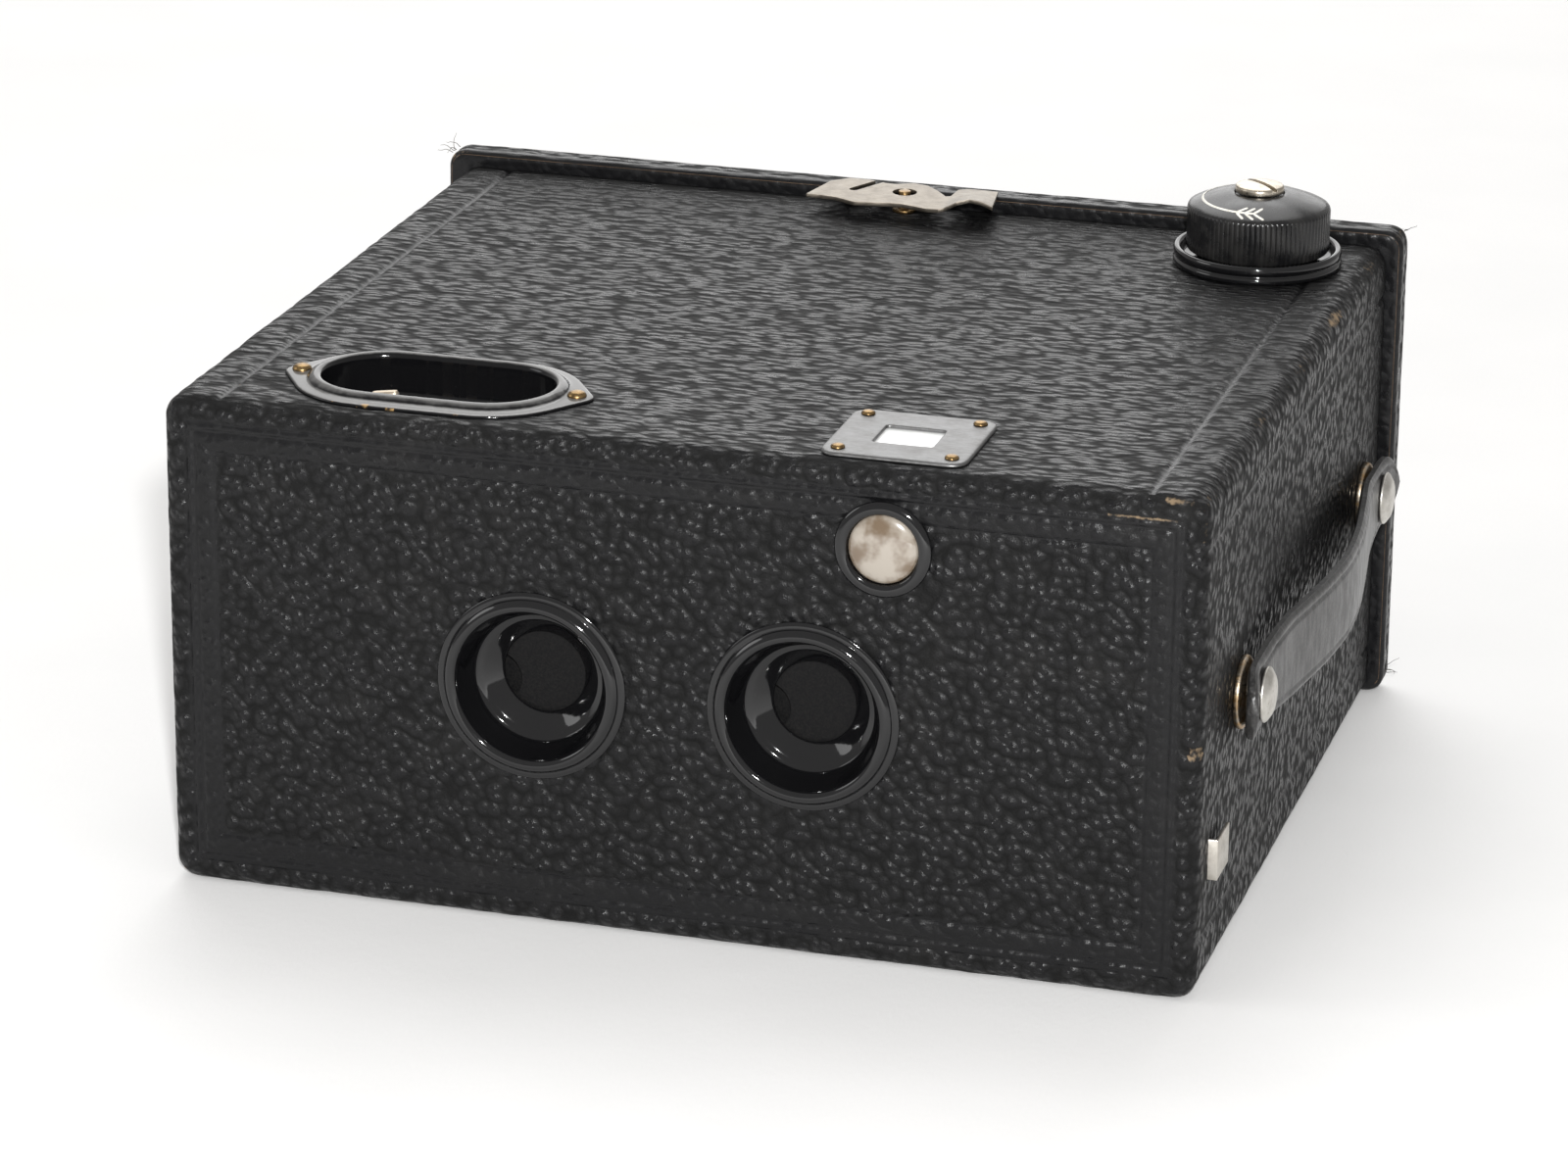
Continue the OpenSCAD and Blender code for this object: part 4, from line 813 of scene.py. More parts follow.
def case_covering(look):
    """Leatherette round the case, open at the back, with its pressed lines and holes."""
    low, high = Vector(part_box("front_leatherette")[0]), Vector(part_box("body_leatherette")[1])
    slide_low, slide_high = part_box("time_slide")
    slot_room = 0.2 * MM
    slot_y = (slide_low.y - slot_room, slide_low.y + 0.5 * MM + slot_room)
    slot_z = (slide_low.z - slot_room, slide_high.z + slot_room)
    mid_z = (low.z + high.z) / 2
    top_lines = (low.x + TOP_LINE_INSET, high.x - TOP_LINE_INSET)
    side_lines = (low.z + SIDE_LINE_INSET, high.z - SIDE_LINE_INSET)
    front_x = [s * (high.x - inset) for s in (-1, 1) for inset in FRONT_LINE_INSETS]
    front_z = [mid_z + s * (high.z - mid_z - inset) for s in (-1, 1) for inset in FRONT_LINE_INSETS]
    seam_y = low.y + 9.9 * MM
    marks = (
        grid_marks(low.x, high.x, COVER_STEP, CASE_SECTION_R, lines=(*top_lines, *front_x)),
        grid_marks(low.y, high.y, COVER_STEP, CASE_EDGE_R, False, lines=(seam_y,), cuts=slot_y),
        grid_marks(low.z, high.z, COVER_STEP, CASE_SECTION_R, lines=(*side_lines, *front_z), cuts=slot_z),
    )
    flat, quads = box_shell(marks, open_sides=((1, True),))
    points, out = rounded_box(flat, low, high, CASE_EDGE_R, CASE_SECTION_R, open_back=True)
    x, y, z = points.T
    on_top, on_side, on_front = out[:, 2] > 0.9, np.abs(out[:, 0]) > 0.9, out[:, 1] < -0.9
    press = np.zeros(len(points))
    for line in top_lines:
        press += on_top * groove(x - line)
    for line in side_lines:
        press += on_side * groove(z - line)
    for inset, share in zip(FRONT_LINE_INSETS, (0.8, 1.0, 0.8)):
        away = frame_distance(x, z - mid_z, high.x - inset, high.z - mid_z - inset)
        press += share * on_front * groove(away)
    from_edge = np.minimum(high.x - np.abs(x), high.z - mid_z - np.abs(z - mid_z))
    band = on_front * (from_edge > FRONT_LINE_INSETS[0]) * (from_edge < FRONT_LINE_INSETS[-1])
    press += 0.7 * on_top * groove(y - seam_y) * (x < low.x + 13 * MM)
    edge = 1 - np.max(np.abs(out), axis=1)
    lift = -LINE_DEPTH * press + 0.07 * MM * ripple(points, 11 * MM, 1)
    lift += (0.03 * MM + 0.5 * MM * edge) * ripple(points, 2.6 * MM, 2)
    lift *= np.minimum(1, (z + 0.2 * MM) / (0.4 * MM))
    wear = edge_wear(points, out, low, high)
    points = points + out * lift[:, None]
    points[:, 2] = np.maximum(points[:, 2], 0)
    for node, lap in (("left_lens_eyelet", 1.2), ("right_lens_eyelet", 1.2), ("finder_lens_rim", 1.0)):
        hole = disc(1, middle(node), (radius(node, 0) - lap) * MM)
        quads = cut_hole(points, quads, 1, low.y + 2 * MM, *hole)
    well_hole = long_hole(middle("lever_well"), WELL_L + 4 * MM, WELL_W + 4 * MM)
    for hole in (
        disc(2, middle("winding_knob"), 5.2 * MM),
        disc(2, middle("latch_post"), 1.1 * MM),
        (block(*grown("finder_glass", 0.3), 2),),
        (well_hole,),
    ):
        quads = cut_hole(points, quads, 2, high.z - 2 * MM, *hole)
    slot = block((0, slot_y[0], slot_z[0]), (0, slot_y[1], slot_z[1]), 0)
    quads = cut_hole(points, quads, 0, high.x - 1 * MM, slot)
    hidden = ("front_leatherette", "body_leatherette", "bottom_leatherette")
    marks = {"wear": wear, "pressed": np.minimum(press + 0.6 * band, 1)}
    shell_piece("case_covering", "case", look, points, quads, hidden, **marks)


def grown(node, by):
    """A node's box, grown all round by that many millimetres."""
    low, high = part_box(node)
    step = Vector((by, by, by)) * MM
    return low - step, high + step


def edge_wear(points, out, low, high):
    """How far the covering is rubbed through, from 0 to about 1, mostly at edges and corners."""
    edge = 1 - np.max(np.abs(out), axis=1)
    patches = np.maximum(ripple(points, 14 * MM, 5), 0)
    wear = edge * patches * 1.9
    near_front_right = np.hypot(points[:, 0] - high.x, points[:, 2] - high.z) < 7 * MM
    wear += 0.45 * near_front_right * (edge > 0.12)
    ridge = groove(points[:, 2] - (high.z - 3.5 * MM), 0.5 * MM)
    ridge *= np.abs(points[:, 0] - 68.5 * MM) < 5 * MM
    wear += 0.75 * ridge * (points[:, 1] < low.y + 1 * MM)
    nick = Vector((high.x - 0.8 * MM, low.y + 0.8 * MM, 38 * MM))
    wear += 0.7 * (np.linalg.norm(points - np.array(nick), axis=1) < 1.6 * MM)
    return np.clip(wear, 0, 1)


# ---- back cover ----------------------------------------------------------------------------------

COVER_EDGE_R = 1.1 * MM
COVER_SECTION_R = 3 * MM
RIM_TURN = 4.4 * MM
BACK_LINE_INSET = 8 * MM


def back_covering(look):
    """Leatherette on the back cover, turned over its edges onto the rim that faces forward."""
    low, high = (Vector(v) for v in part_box("back_leatherette"))
    notch_x, notch_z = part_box("cover_hinge_leaf")[1].x + 0.3 * MM, 3.4 * MM
    low.y -= 0.12 * MM
    inset = BACK_LINE_INSET
    lines_x, lines_z = (low.x + inset, high.x - inset), (inset, high.z - inset)
    marks = (
        grid_marks(low.x, high.x, COVER_STEP, COVER_SECTION_R, lines=lines_x, cuts=(-notch_x, notch_x)),
        grid_marks(low.y, high.y, COVER_STEP, COVER_EDGE_R),
        grid_marks(low.z, high.z, COVER_STEP, COVER_SECTION_R, lines=lines_z, cuts=(notch_z,)),
    )
    flat, quads = box_shell(marks)
    points, out = rounded_box(flat, low, high, COVER_EDGE_R, COVER_SECTION_R)
    x, _, z = points.T
    mid_z = (low.z + high.z) / 2
    away = frame_distance(x, z - mid_z, high.x - inset, high.z - mid_z - inset)
    press = (out[:, 1] > 0.9) * groove(away)
    edge = 1 - np.max(np.abs(out), axis=1)
    lift = -LINE_DEPTH * press + 0.07 * MM * ripple(points, 12 * MM, 3)
    lift += (0.03 * MM + 0.5 * MM * edge) * ripple(points, 2.4 * MM, 4)
    lift *= out[:, 1] > -0.6
    wear = np.clip(2.1 * edge * np.maximum(ripple(points, 13 * MM, 6), 0), 0, 1)
    from_end = np.minimum(np.abs(z - high.z), np.abs(z - low.z))
    corner = np.hypot(np.abs(x) - high.x, from_end) < 5 * MM
    wear = np.clip(wear + 0.5 * corner * (edge > 0.15), 0, 1)
    points = points + out * lift[:, None]
    points[:, 2] = np.maximum(points[:, 2], 0)
    turn = Vector((RIM_TURN, 0, RIM_TURN))
    centres = points[quads].mean(1)
    open_front = (centres[:, 1] < low.y + 0.6 * MM) & block(low + turn, high - turn, 1)(centres)
    notch = (np.abs(centres[:, 0]) < notch_x) & (centres[:, 2] < notch_z)
    quads = quads[~(open_front | notch)]
    quads = cut_hole(points, quads, 1, high.y - 2 * MM, *disc(1, middle("ruby_window"), 6.6 * MM))
    rim = points[:, 1] < low.y + 1.4 * COVER_EDGE_R
    marks = {"wear": wear, "pressed": np.minimum(press + rim, 1)}
    shell_piece("back_covering", "back_cover", look, points, quads, ("back_leatherette",), **marks)


THREAD_R = 0.07 * MM


def loose_threads(look):
    """Frayed threads at the back cover's corners."""
    low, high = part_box("back_leatherette")
    draws = random.Random(11)
    starts = [(low.x, high.z, -1, 1)] * 5 + [(high.x, high.z, 1, 1)] * 2
    starts += [(high.x, low.z + 3 * MM, 1, 0.2)] * 4
    round_about = [Vector((math.cos(a), 0, math.sin(a))) for a in (0, 1.26, 2.51, 3.77, 5.03)]
    tubes = []
    for x, z, side, rise in starts:
        y = draws.uniform(low.y + 0.6 * MM, high.y - 0.6 * MM)
        at = Vector((x + side * -0.5 * MM, y, z - 0.7 * MM * rise))
        sideways, along, upward = draws.uniform(0.2, 1), draws.uniform(-0.6, 0.4), draws.uniform(0.0, 0.8)
        heading = Vector((side * sideways, along, rise * upward))
        heading.normalize()
        rings = []
        for step in range(12):
            ring_r = THREAD_R * (1 - 0.06 * step)
            rings.append([at + ring_r * way for way in round_about])
            heading = (heading + 0.35 * Vector([draws.uniform(-1, 1) for _ in range(3)])).normalized()
            at = at + heading * 0.3 * MM
            at.x = max(min(at.x, high.x + 1.6 * MM), low.x - 1.6 * MM)
        tubes.append(loft_mesh(rings))
    new_piece("loose_threads", "back_cover", look, "leatherette", join_meshes(tubes))


# ---- lenses and finder ---------------------------------------------------------------------------


def lens_eyelet(node, look):
    """Pressed and enamelled eyelet: flange, rolled rim, stepped bowl and a cone down to the hole."""
    centre = front_centre(node)
    flange_r = radius(node, 0)
    depth = (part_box(node)[1].y - centre.y) / MM
    rim_r, hole_r = 12.5, 6.15
    profile = mm(
        [
            (flange_r, -0.02), (flange_r, -0.4), (flange_r - 0.7, -0.55), (rim_r + 0.9, -0.5),
            (rim_r + 0.7, -0.9), (rim_r + 0.1, -1.4), (rim_r - 0.7, -1.35), (rim_r - 1.15, -0.8),
            (rim_r - 1.35, -0.1), (10.6, 1.8), (10.05, 3.2), (9.7, 3.7), (9.0, 3.95), (8.6, 4.15),
            (hole_r + 0.25, depth - 0.55), (hole_r, depth - 0.2), (hole_r + 0.15, depth),
            (hole_r + 0.6, depth - 0.1), (9.2, 4.6), (10.2, 4.1), (10.7, 2.8), (rim_r - 0.6, 0.3),
            (rim_r, -0.02),
        ]
    )
    bm = lathe_mesh(profile, centre, "y", 128, loop=True)
    new_piece("enamelled_" + node, "case", look, "black_enamel", bm, replaces=(node,), sharp=60)


def finder_front(rim_look, lens_look):
    """The finder's domed front lens in its small eyelet."""
    centre = front_centre("finder_lens_rim")
    rim_r, lens_r = radius("finder_lens_rim", 0), radius("finder_lens", 0)
    profile = mm(
        [
            (rim_r, 0.0), (rim_r, -0.5), (rim_r - 0.5, -0.85), (lens_r + 0.9, -1.0), (lens_r + 0.2, -0.8),
            (lens_r + 0.05, -0.3), (lens_r + 0.05, 3.5), (lens_r + 0.45, 3.5), (lens_r + 0.45, 0.0),
        ]
    )
    bm = lathe_mesh(profile, centre, "y", 96, loop=True)
    new_piece("enamelled_finder_rim", "case", rim_look, "black_enamel", bm, replaces=("finder_lens_rim",))
    falls = (math.pi / 2 * k / 12 for k in range(12, -1, -1))
    dome = [(lens_r * math.sin(a), -1.25 * math.cos(a)) for a in falls]
    profile = mm([(0.1, 2.2), (lens_r - 0.3, 2.2), (lens_r, 1.9), *dome])
    bm = lathe_mesh(profile, centre, "y", 64, rounds=1)
    new_piece("finder_lens_glass", "case", lens_look, "glass", bm, replaces=("finder_lens",), sharp=60)


def outline_rings(stations, centre, angles):
    """Rings of points from (radius at each angle, height) pairs about an upright axis."""
    rings = []
    for r, h in stations:
        x, y = centre.x + r * np.cos(angles), centre.y + r * np.sin(angles)
        rings.append(np.stack((x, y, np.full(len(angles), h)), 1))
    return np.array(rings)


def polar(outline, angles):
    """Distance from the middle to a convex outline at each angle."""
    outline = np.array(outline)
    seen = np.arctan2(outline[:, 1], outline[:, 0])
    order = np.argsort(seen)
    return np.interp(angles, seen[order], np.hypot(*outline.T)[order], period=2 * math.pi)


def dense(corners, per_side):
    """Points close together along a closed outline of corners."""
    ahead = np.roll(corners, -1, 0)
    shares = np.linspace(0, 1, per_side, endpoint=False)[:, None]
    return np.concatenate([a + (b - a) * shares for a, b in zip(corners, ahead)])


def arc(centre, r, start, stop, steps=24):
    """Points on a circle between two angles in degrees."""
    turns = np.radians(np.linspace(start, stop, steps))
    return np.stack((centre[0] + r * np.cos(turns), centre[1] + r * np.sin(turns)), 1)


def stadium(length, width):
    """Outline with two straight sides and round ends."""
    half = (length - width) / 2
    ends = (arc((half, 0), width / 2, -90, 90), arc((-half, 0), width / 2, 90, 270))
    return dense(np.concatenate(ends), 6)


def round_rect(width, depth, r):
    """Outline of a rectangle with corners of radius r."""
    corners = [(1, 1, 0), (-1, 1, 90), (-1, -1, 180), (1, -1, 270)]
    rounds = [arc((sx * (width / 2 - r), sy * (depth / 2 - r)), r, a, a + 90, 8) for sx, sy, a in corners]
    return dense(np.concatenate(rounds), 12)


RING_ANGLES = np.linspace(-math.pi, math.pi, 288, endpoint=False)


def finder_plate(look):
    """Nickelled plate round the finder's window, with a rolled outer edge and clipped corners."""
    low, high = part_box("finder_plate")
    centre = (low + high) / 2
    glass_low, glass_high = grown("finder_glass", -1.7)
    window = round_rect(glass_high.x - glass_low.x, glass_high.y - glass_low.y, 0.5 * MM)
    edge = polar(round_rect(high.x - low.x, high.y - low.y, 2.4 * MM), RING_ANGLES)
    hole = polar(window, RING_ANGLES)
    z0 = low.z
    stations = [
        (edge, z0 + 0.02 * MM), (edge, z0 + 0.35 * MM), (edge - 0.3 * MM, z0 + 0.62 * MM),
        (edge - 1.0 * MM, z0 + 0.68 * MM), (edge * 0.5 + hole * 0.5, z0 + 0.6 * MM),
        (hole + 0.9 * MM, z0 + 0.66 * MM), (hole + 0.25 * MM, z0 + 0.68 * MM), (hole, z0 + 0.5 * MM),
        (hole, z0 + 0.02 * MM),
    ]
    rings = chaikin(outline_rings(stations, centre, RING_ANGLES), 2, loop=True)
    bm = loft_mesh(rings, loop=True)
    new_piece("nickel_finder_plate", "case", look, "nickel", bm, replaces=("finder_plate",), sharp=60)


def domed_pin(at, r, height):
    """Head of a small pin, a little flattened, on its shank."""
    shank = [(0.55, -2.5), (0.55, -0.1)]
    head = [(r, -0.05), (r, height * 0.35), (r * 0.72, height * 0.85), (0.02, height)]
    return lathe_mesh(mm(shank + head), at, "z", 28)


def pins(look):
    """The four pins of the finder's plate and the two of the well's rim."""
    plate_low, plate_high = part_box("finder_plate")
    inset = 2.4 * MM
    heads = []
    for x in (plate_low.x + inset, plate_high.x - inset):
        for y in (plate_low.y + inset, plate_high.y - inset):
            heads.append(domed_pin((x, y, plate_high.z - 0.02 * MM), 1.05, 0.55))
    well = middle("lever_well")
    for side in (-1, 1):
        at = (well.x + side * WELL_PIN_GAP / 2, well.y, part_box("body_leatherette")[1].z + 0.45 * MM)
        heads.append(domed_pin(at, 1.45, 0.95))
    new_piece("pin_heads", "case", look, "brass", join_meshes(heads), replaces=("escutcheon_pins",))


# ---- release lever and its well ------------------------------------------------------------------

WELL_L = 35 * MM
WELL_W = 18.6 * MM
WELL_PIN_GAP = 42.6 * MM
WELL_CHIPS = ((-13, 2.4), (-5, 3.0), (8, 1.2))  # chips on the front rim: place from the middle, radius
LEVER_LEAN = math.radians(8)


def lever_well(look):
    """Enamelled well: a flat plate with an ear round each pin, a rolled rim and smooth walls."""
    low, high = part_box("lever_well")
    centre = (low + high) / 2
    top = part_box("body_leatherette")[1].z
    floor_z = low.z + 0.5 * MM
    ears = [arc((side * WELL_PIN_GAP / 2, 0), 2.5 * MM, 0, 360) for side in (1, -1)]
    rim_plate = stadium(WELL_L + 8.4 * MM, WELL_W + 8.4 * MM)
    plate = polar(dense(convex_outline(np.concatenate((rim_plate, *ears))), 8), RING_ANGLES)

    def rim(grow):
        return polar(stadium(WELL_L + 2 * grow * MM, WELL_W + 2 * grow * MM), RING_ANGLES)

    stations = [
        (plate, top + 0.02 * MM), (plate, top + 0.3 * MM), (plate - 0.3 * MM, top + 0.5 * MM),
        (rim(2.3), top + 0.55 * MM), (rim(1.9), top + 1.0 * MM), (rim(1.2), top + 1.42 * MM),
        (rim(0.5), top + 1.4 * MM), (rim(0.0), top + 0.9 * MM), (rim(-0.05), top - 0.5 * MM),
        (rim(-0.1), floor_z + 1.4 * MM), (rim(-0.4), floor_z + 0.4 * MM), (rim(-1.2), floor_z),
    ]
    rings = chaikin(outline_rings(stations, centre, RING_ANGLES), 2)
    bm = loft_mesh(rings, ends=False)
    near_floor = floor_z + 0.01 * MM
    floor_edge = [e for e in bm.edges if e.is_boundary and all(v.co.z < near_floor for v in e.verts)]
    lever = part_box("release_lever")
    slot_y = (tab_y() - 0.55 * MM, tab_y() + 0.55 * MM)
    reach = 3.4 * MM + (low.z - lever[0].z) * math.sin(LEVER_LEAN) * 0.62
    corners = [(-reach, slot_y[0]), (reach, slot_y[0]), (reach, slot_y[1]), (-reach, slot_y[1])]
    verts = [bm.verts.new((centre.x + x, y, floor_z)) for x, y in corners]
    slot_edge = [bm.edges.new((verts[i], verts[(i + 1) % 4])) for i in range(4)]
    bmesh.ops.triangle_fill(bm, edges=floor_edge + slot_edge, use_beauty=True)
    bmesh.ops.recalc_face_normals(bm, faces=bm.faces)
    mesh = made_mesh("lever_well", bm)
    values = []
    for v in mesh.vertices:
        near = 0.0
        for x, r in WELL_CHIPS:
            away = math.hypot((v.co.x - centre.x - x * MM) / (r * MM), (v.co.y - low.y) / (0.9 * MM))
            near = max(near, 0.62 * (away < 1) * (v.co.z > top))
        values.append(near)
    mesh.attributes.new("wear", "FLOAT", "POINT").data.foreach_set("value", values)
    name = "enamelled_lever_well"
    piece = new_piece(name, "case", look, "black_enamel", mesh=mesh, replaces=("lever_well",), sharp=60)
    thicken(piece, 0.35 * MM)


def convex_outline(points):
    """Points on the convex hull of a flat cloud, in order."""
    pts = sorted(map(tuple, points))

    def half(rows):
        chain = []
        for p in rows:
            while len(chain) > 1 and cross(chain[-2], chain[-1], p) <= 0:
                chain.pop()
            chain.append(p)
        return chain[:-1]

    return np.array(half(pts) + half(pts[::-1]))


def cross(o, a, b):
    return (a[0] - o[0]) * (b[1] - o[1]) - (a[1] - o[1]) * (b[0] - o[0])


def tab_y():
    """Middle of the release lever's tab, front to back."""
    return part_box("release_lever")[1].y - 0.25 * MM


def lever_tab(look):
    """Rolled finger edge on the release lever's tab, leaning with it at rest."""
    low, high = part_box("release_lever")
    half = 2.1
    top = Vector((low.x + half * MM, tab_y(), high.z))
    rows = []
    # below the tip, half thickness and share of the width, from the foot up
    for drop, thick, wide in (
        (3.4, 0.34, 0.98), (1.6, 0.36, 1.0), (0.9, 0.62, 1.0), (0.3, 0.8, 0.96), (-0.1, 0.55, 0.9),
    ):
        ring = []
        for a in np.linspace(0, 2 * math.pi, 40, endpoint=False):
            c, s = math.cos(a), math.sin(a)
            across = half * wide * math.copysign(abs(c) ** 0.45, c)
            ring.append((across, thick * math.copysign(abs(s) ** 0.7, s), -drop))
        rows.append(ring)
    turn = Matrix.Rotation(-LEVER_LEAN, 3, "Y")
    rings = [[top + turn @ Vector(p) * MM for p in ring] for ring in chaikin(rows)]
    new_piece("lever_finger_edge", "release_lever", look, "nickel", loft_mesh(rings), sharp=60)


# ---- winding knob --------------------------------------------------------------------------------


def knob_flange(look):
    """Ring under the knob, with a groove round it and a raised rim."""
    low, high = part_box("knob_flange")
    r = radius("knob_flange", 0)
    top = (high.z - low.z) / MM
    profile = mm(
        [
            (5.1, 0.02), (r - 0.3, 0.02), (r, 0.3), (r, 1.0), (r - 0.35, 1.25), (r - 0.35, 1.5),
            (r - 0.02, 1.8), (r - 0.05, top - 0.4), (r - 0.4, top), (r - 1.0, top - 0.1),
            (r - 1.35, top - 0.7), (r - 1.5, 0.95), (5.6, 0.8), (5.1, 0.7),
        ]
    )
    bm = lathe_mesh(profile, foot("knob_flange"), "z", 128, loop=True)
    name = "enamelled_knob_flange"
    new_piece(name, "case", look, "black_enamel", bm, replaces=("knob_flange",), sharp=60)


# the knob's sizes are in millimetres
KNURLS = 84
KNOB_SIDE_H = 7.1
KNOB_DOME_H = 2.5


def knob_dome(r, knob_r):
    """Height of the knob's dome above its side at a radius, in millimetres."""
    ball = (knob_r**2 + KNOB_DOME_H**2) / (2 * KNOB_DOME_H)
    return KNOB_DOME_H - ball + math.sqrt(ball**2 - r**2)


def winding_knob(look):
    """Knob with a knurled side, and a domed top that is open at its middle for the screw."""
    centre = foot("winding_knob")
    knob_r = radius("winding_knob", 0)
    side = KNOB_SIDE_H
    # radius, height and depth of the knurls there, from 0 to 1
    outer = [(5.7, 0.0, 0), (knob_r - 0.5, 0.0, 0), (knob_r - 0.15, 0.2, 0.3), (knob_r, 0.5, 1)]
    outer += [(knob_r, side - 0.5, 1), (knob_r - 0.1, side - 0.15, 0.35), (knob_r - 0.25, side + 0.05, 0)]
    hole_r = radius("knob_screw", 0) + 0.15
    brim = side + knob_dome(hole_r, knob_r)
    dome = [(r, side + knob_dome(r, knob_r), 0) for r in np.linspace(knob_r - 0.9, hole_r + 0.2, 12)]
    seat = [(hole_r, brim - 0.1, 0), (hole_r, brim - 0.5, 0), (2.2, brim - 0.5, 0), (2.2, side + 0.5, 0)]
    seat += [(5.7, side + 0.5, 0)]
    steps = KNURLS * 6
    rings = []
    for r, h, cut in outer + dome + seat:
        ring = []
        for a in (2 * math.pi * i / steps for i in range(steps)):
            notch = 0.2 * cut * max(0, math.cos(KNURLS * a)) ** 2
            ring.append(centre + Vector(((r - notch) * math.cos(a), (r - notch) * math.sin(a), h)) * MM)
        rings.append(ring)
    bm = loft_mesh(rings, loop=True)
    new_piece("knurled_knob", "knob", look, "black_enamel", bm, replaces=("winding_knob",), sharp=40)


# the arrow's radius in millimetres, and its places round the knob in degrees
ARROW_R = 8.9
ARROW_TAIL = -77
ARROW_TIP = -292
ARROW_FEATHERS = (-84, -93, -102)


def knob_arrow(look):
    """Painted arrow that bends round the knob's top, with three pairs of feathers at its tail."""
    centre = foot("winding_knob")
    knob_r = radius("winding_knob", 0)
    turns = np.linspace(ARROW_TAIL - 6, ARROW_TIP, 64)
    strokes = [[(ARROW_R, a) for a in turns]]
    for start in ARROW_FEATHERS:
        for side in (-1, 1):
            strokes.append([(ARROW_R + side * 1.45 * k / 6, start + 9.5 * k / 6) for k in range(7)])
    for side in (-1, 1):
        strokes.append([(ARROW_R + side * 1.5 * k / 6, ARROW_TIP + 11 * k / 6) for k in range(7)])
    tubes = []
    for stroke in strokes:
        spine = []
        for r, degrees in stroke:
            a = math.radians(degrees)
            spine.append(Vector((r * math.cos(a), r * math.sin(a), KNOB_SIDE_H + knob_dome(r, knob_r))))
        rings = []
        for i, p in enumerate(spine):
            ahead = (spine[min(i + 1, len(spine) - 1)] - spine[max(i - 1, 0)]).normalized()
            out = Vector((p.x, p.y, 16)).normalized()
            across = ahead.cross(out).normalized()
            wide = 0.24 if 0 < i < len(spine) - 1 else 0.14
            turn = (math.pi * k / 4 for k in range(8))
            ring = [p + wide * math.cos(t) * across + 0.07 * math.sin(t) * out for t in turn]
            rings.append([centre + q * MM for q in ring])
        tubes.append(loft_mesh(rings))
    new_piece("knob_arrow", "knob", look, "black_enamel", join_meshes(tubes), sharp=60)


SLOT_TURN = math.radians(-40)


def knob_screw(look):
    """Domed screw with a slot across it, in the middle of the knob."""
    centre = middle("knob_screw")
    centre.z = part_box("knob_screw")[1].z
    r = radius("knob_screw", 0)
    side = [(0.1, -1.55), (r - 0.1, -1.55), (r, -1.3), (r, -0.55)]
    bm = lathe_mesh(mm(side + [(r - 0.5, -0.3), (r * 0.5, -0.06), (0.05, 0)]), centre, "z", 72)
    name = "slotted_knob_screw"
    piece = new_piece(name, "knob", look, "nickel", bm, replaces=("knob_screw",), sharp=50)
    slot = bmesh.new()
    bmesh.ops.create_cube(slot, size=1)
    bmesh.ops.scale(slot, vec=Vector((12, 0.95, 1.6)) * MM, verts=slot.verts)
    bmesh.ops.rotate(slot, matrix=Matrix.Rotation(SLOT_TURN, 3, "Z"), verts=slot.verts)
    bmesh.ops.translate(slot, vec=centre, verts=slot.verts)
    carve(piece, [slot])
    round_edges(piece, 0.07 * MM, angle=50)


# ---- strap ---------------------------------------------------------------------------------------

# the strap's sizes are in millimetres
STRAP_T = 1.7
STRAP_W = 11.0
STRAP_MID_W = 13.5
STRAP_BOW = 4.2
STRAP_FLARE = 1.2
STRAP_TAIL = 9.0


def stud_places():
    """Front and back stud, as places along Y in millimetres."""
    low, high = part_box("strap_washers")
    half = (high.z - low.z) / 2
    return (low.y + half) / MM, (high.y - half) / MM


def strap(look):
    """Flat strap, bowed out between its studs, with soft edges and a line pressed along each."""
    z = middle("strap").z / MM
    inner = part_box("strap_washers")[1].x / MM + 0.05
    first, last = stud_places()
    y0, y1 = first - STRAP_TAIL, last + STRAP_TAIL
    end_r = STRAP_W / 2

    def face(y):
        if y < first:
            return inner + STRAP_FLARE * ((first - y) / STRAP_TAIL) ** 2
        if y > last:
            return inner + STRAP_FLARE * ((y - last) / STRAP_TAIL) ** 2
        return inner + STRAP_BOW * math.sin(math.pi * (y - first) / (last - first)) ** 2

    def half_width(y):
        grown = np.interp(y, (first, first + 18, last - 18, last), (0, 1, 1, 0))
        width = (STRAP_W + (STRAP_MID_W - STRAP_W) * grown * grown * (3 - 2 * grown)) / 2
        tip = min(y - y0, y1 - y)
        if tip < end_r:
            width = min(width, math.sqrt(max(end_r**2 - (end_r - tip) ** 2, 0.01)))
        return width

    ends = [end_r * (1 - math.cos(math.pi / 2 * k / 9)) for k in range(9)]
    places = [y0 + e + 0.01 for e in ends] + list(np.linspace(y0 + end_r, y1 - end_r, 110))
    places += [y1 - e - 0.01 for e in reversed(ends)]
    across = [math.sin(math.pi / 2 * t) for t in np.linspace(-1, 1, 45)]
    rings = []
    for y in places:
        w = half_width(y)
        sag = 0.12 * noise.noise(Vector((y / 9, 0, 3)))
        outer, back = [], []
        for t in across:
            from_edge = w * (1 - abs(t))
            soft = 0.45 * math.exp(-((from_edge / 0.5) ** 1.4))
            line = 0.3 * math.exp(-(((from_edge - 1.5) / 0.3) ** 2)) * (w > 3)
            crown = 0.22 * (1 - t * t)
            outer.append((face(y) + STRAP_T - soft - line + crown + sag, y, z + w * t))
            back.append((face(y) + soft + sag, y, z + w * t))
        rings.append([Vector(p) * MM for p in outer + back[::-1]])
    bm = loft_mesh(rings)
    new_piece("leather_strap", "case", look, "strap_leather", bm, replaces=("strap",), sharp=60)


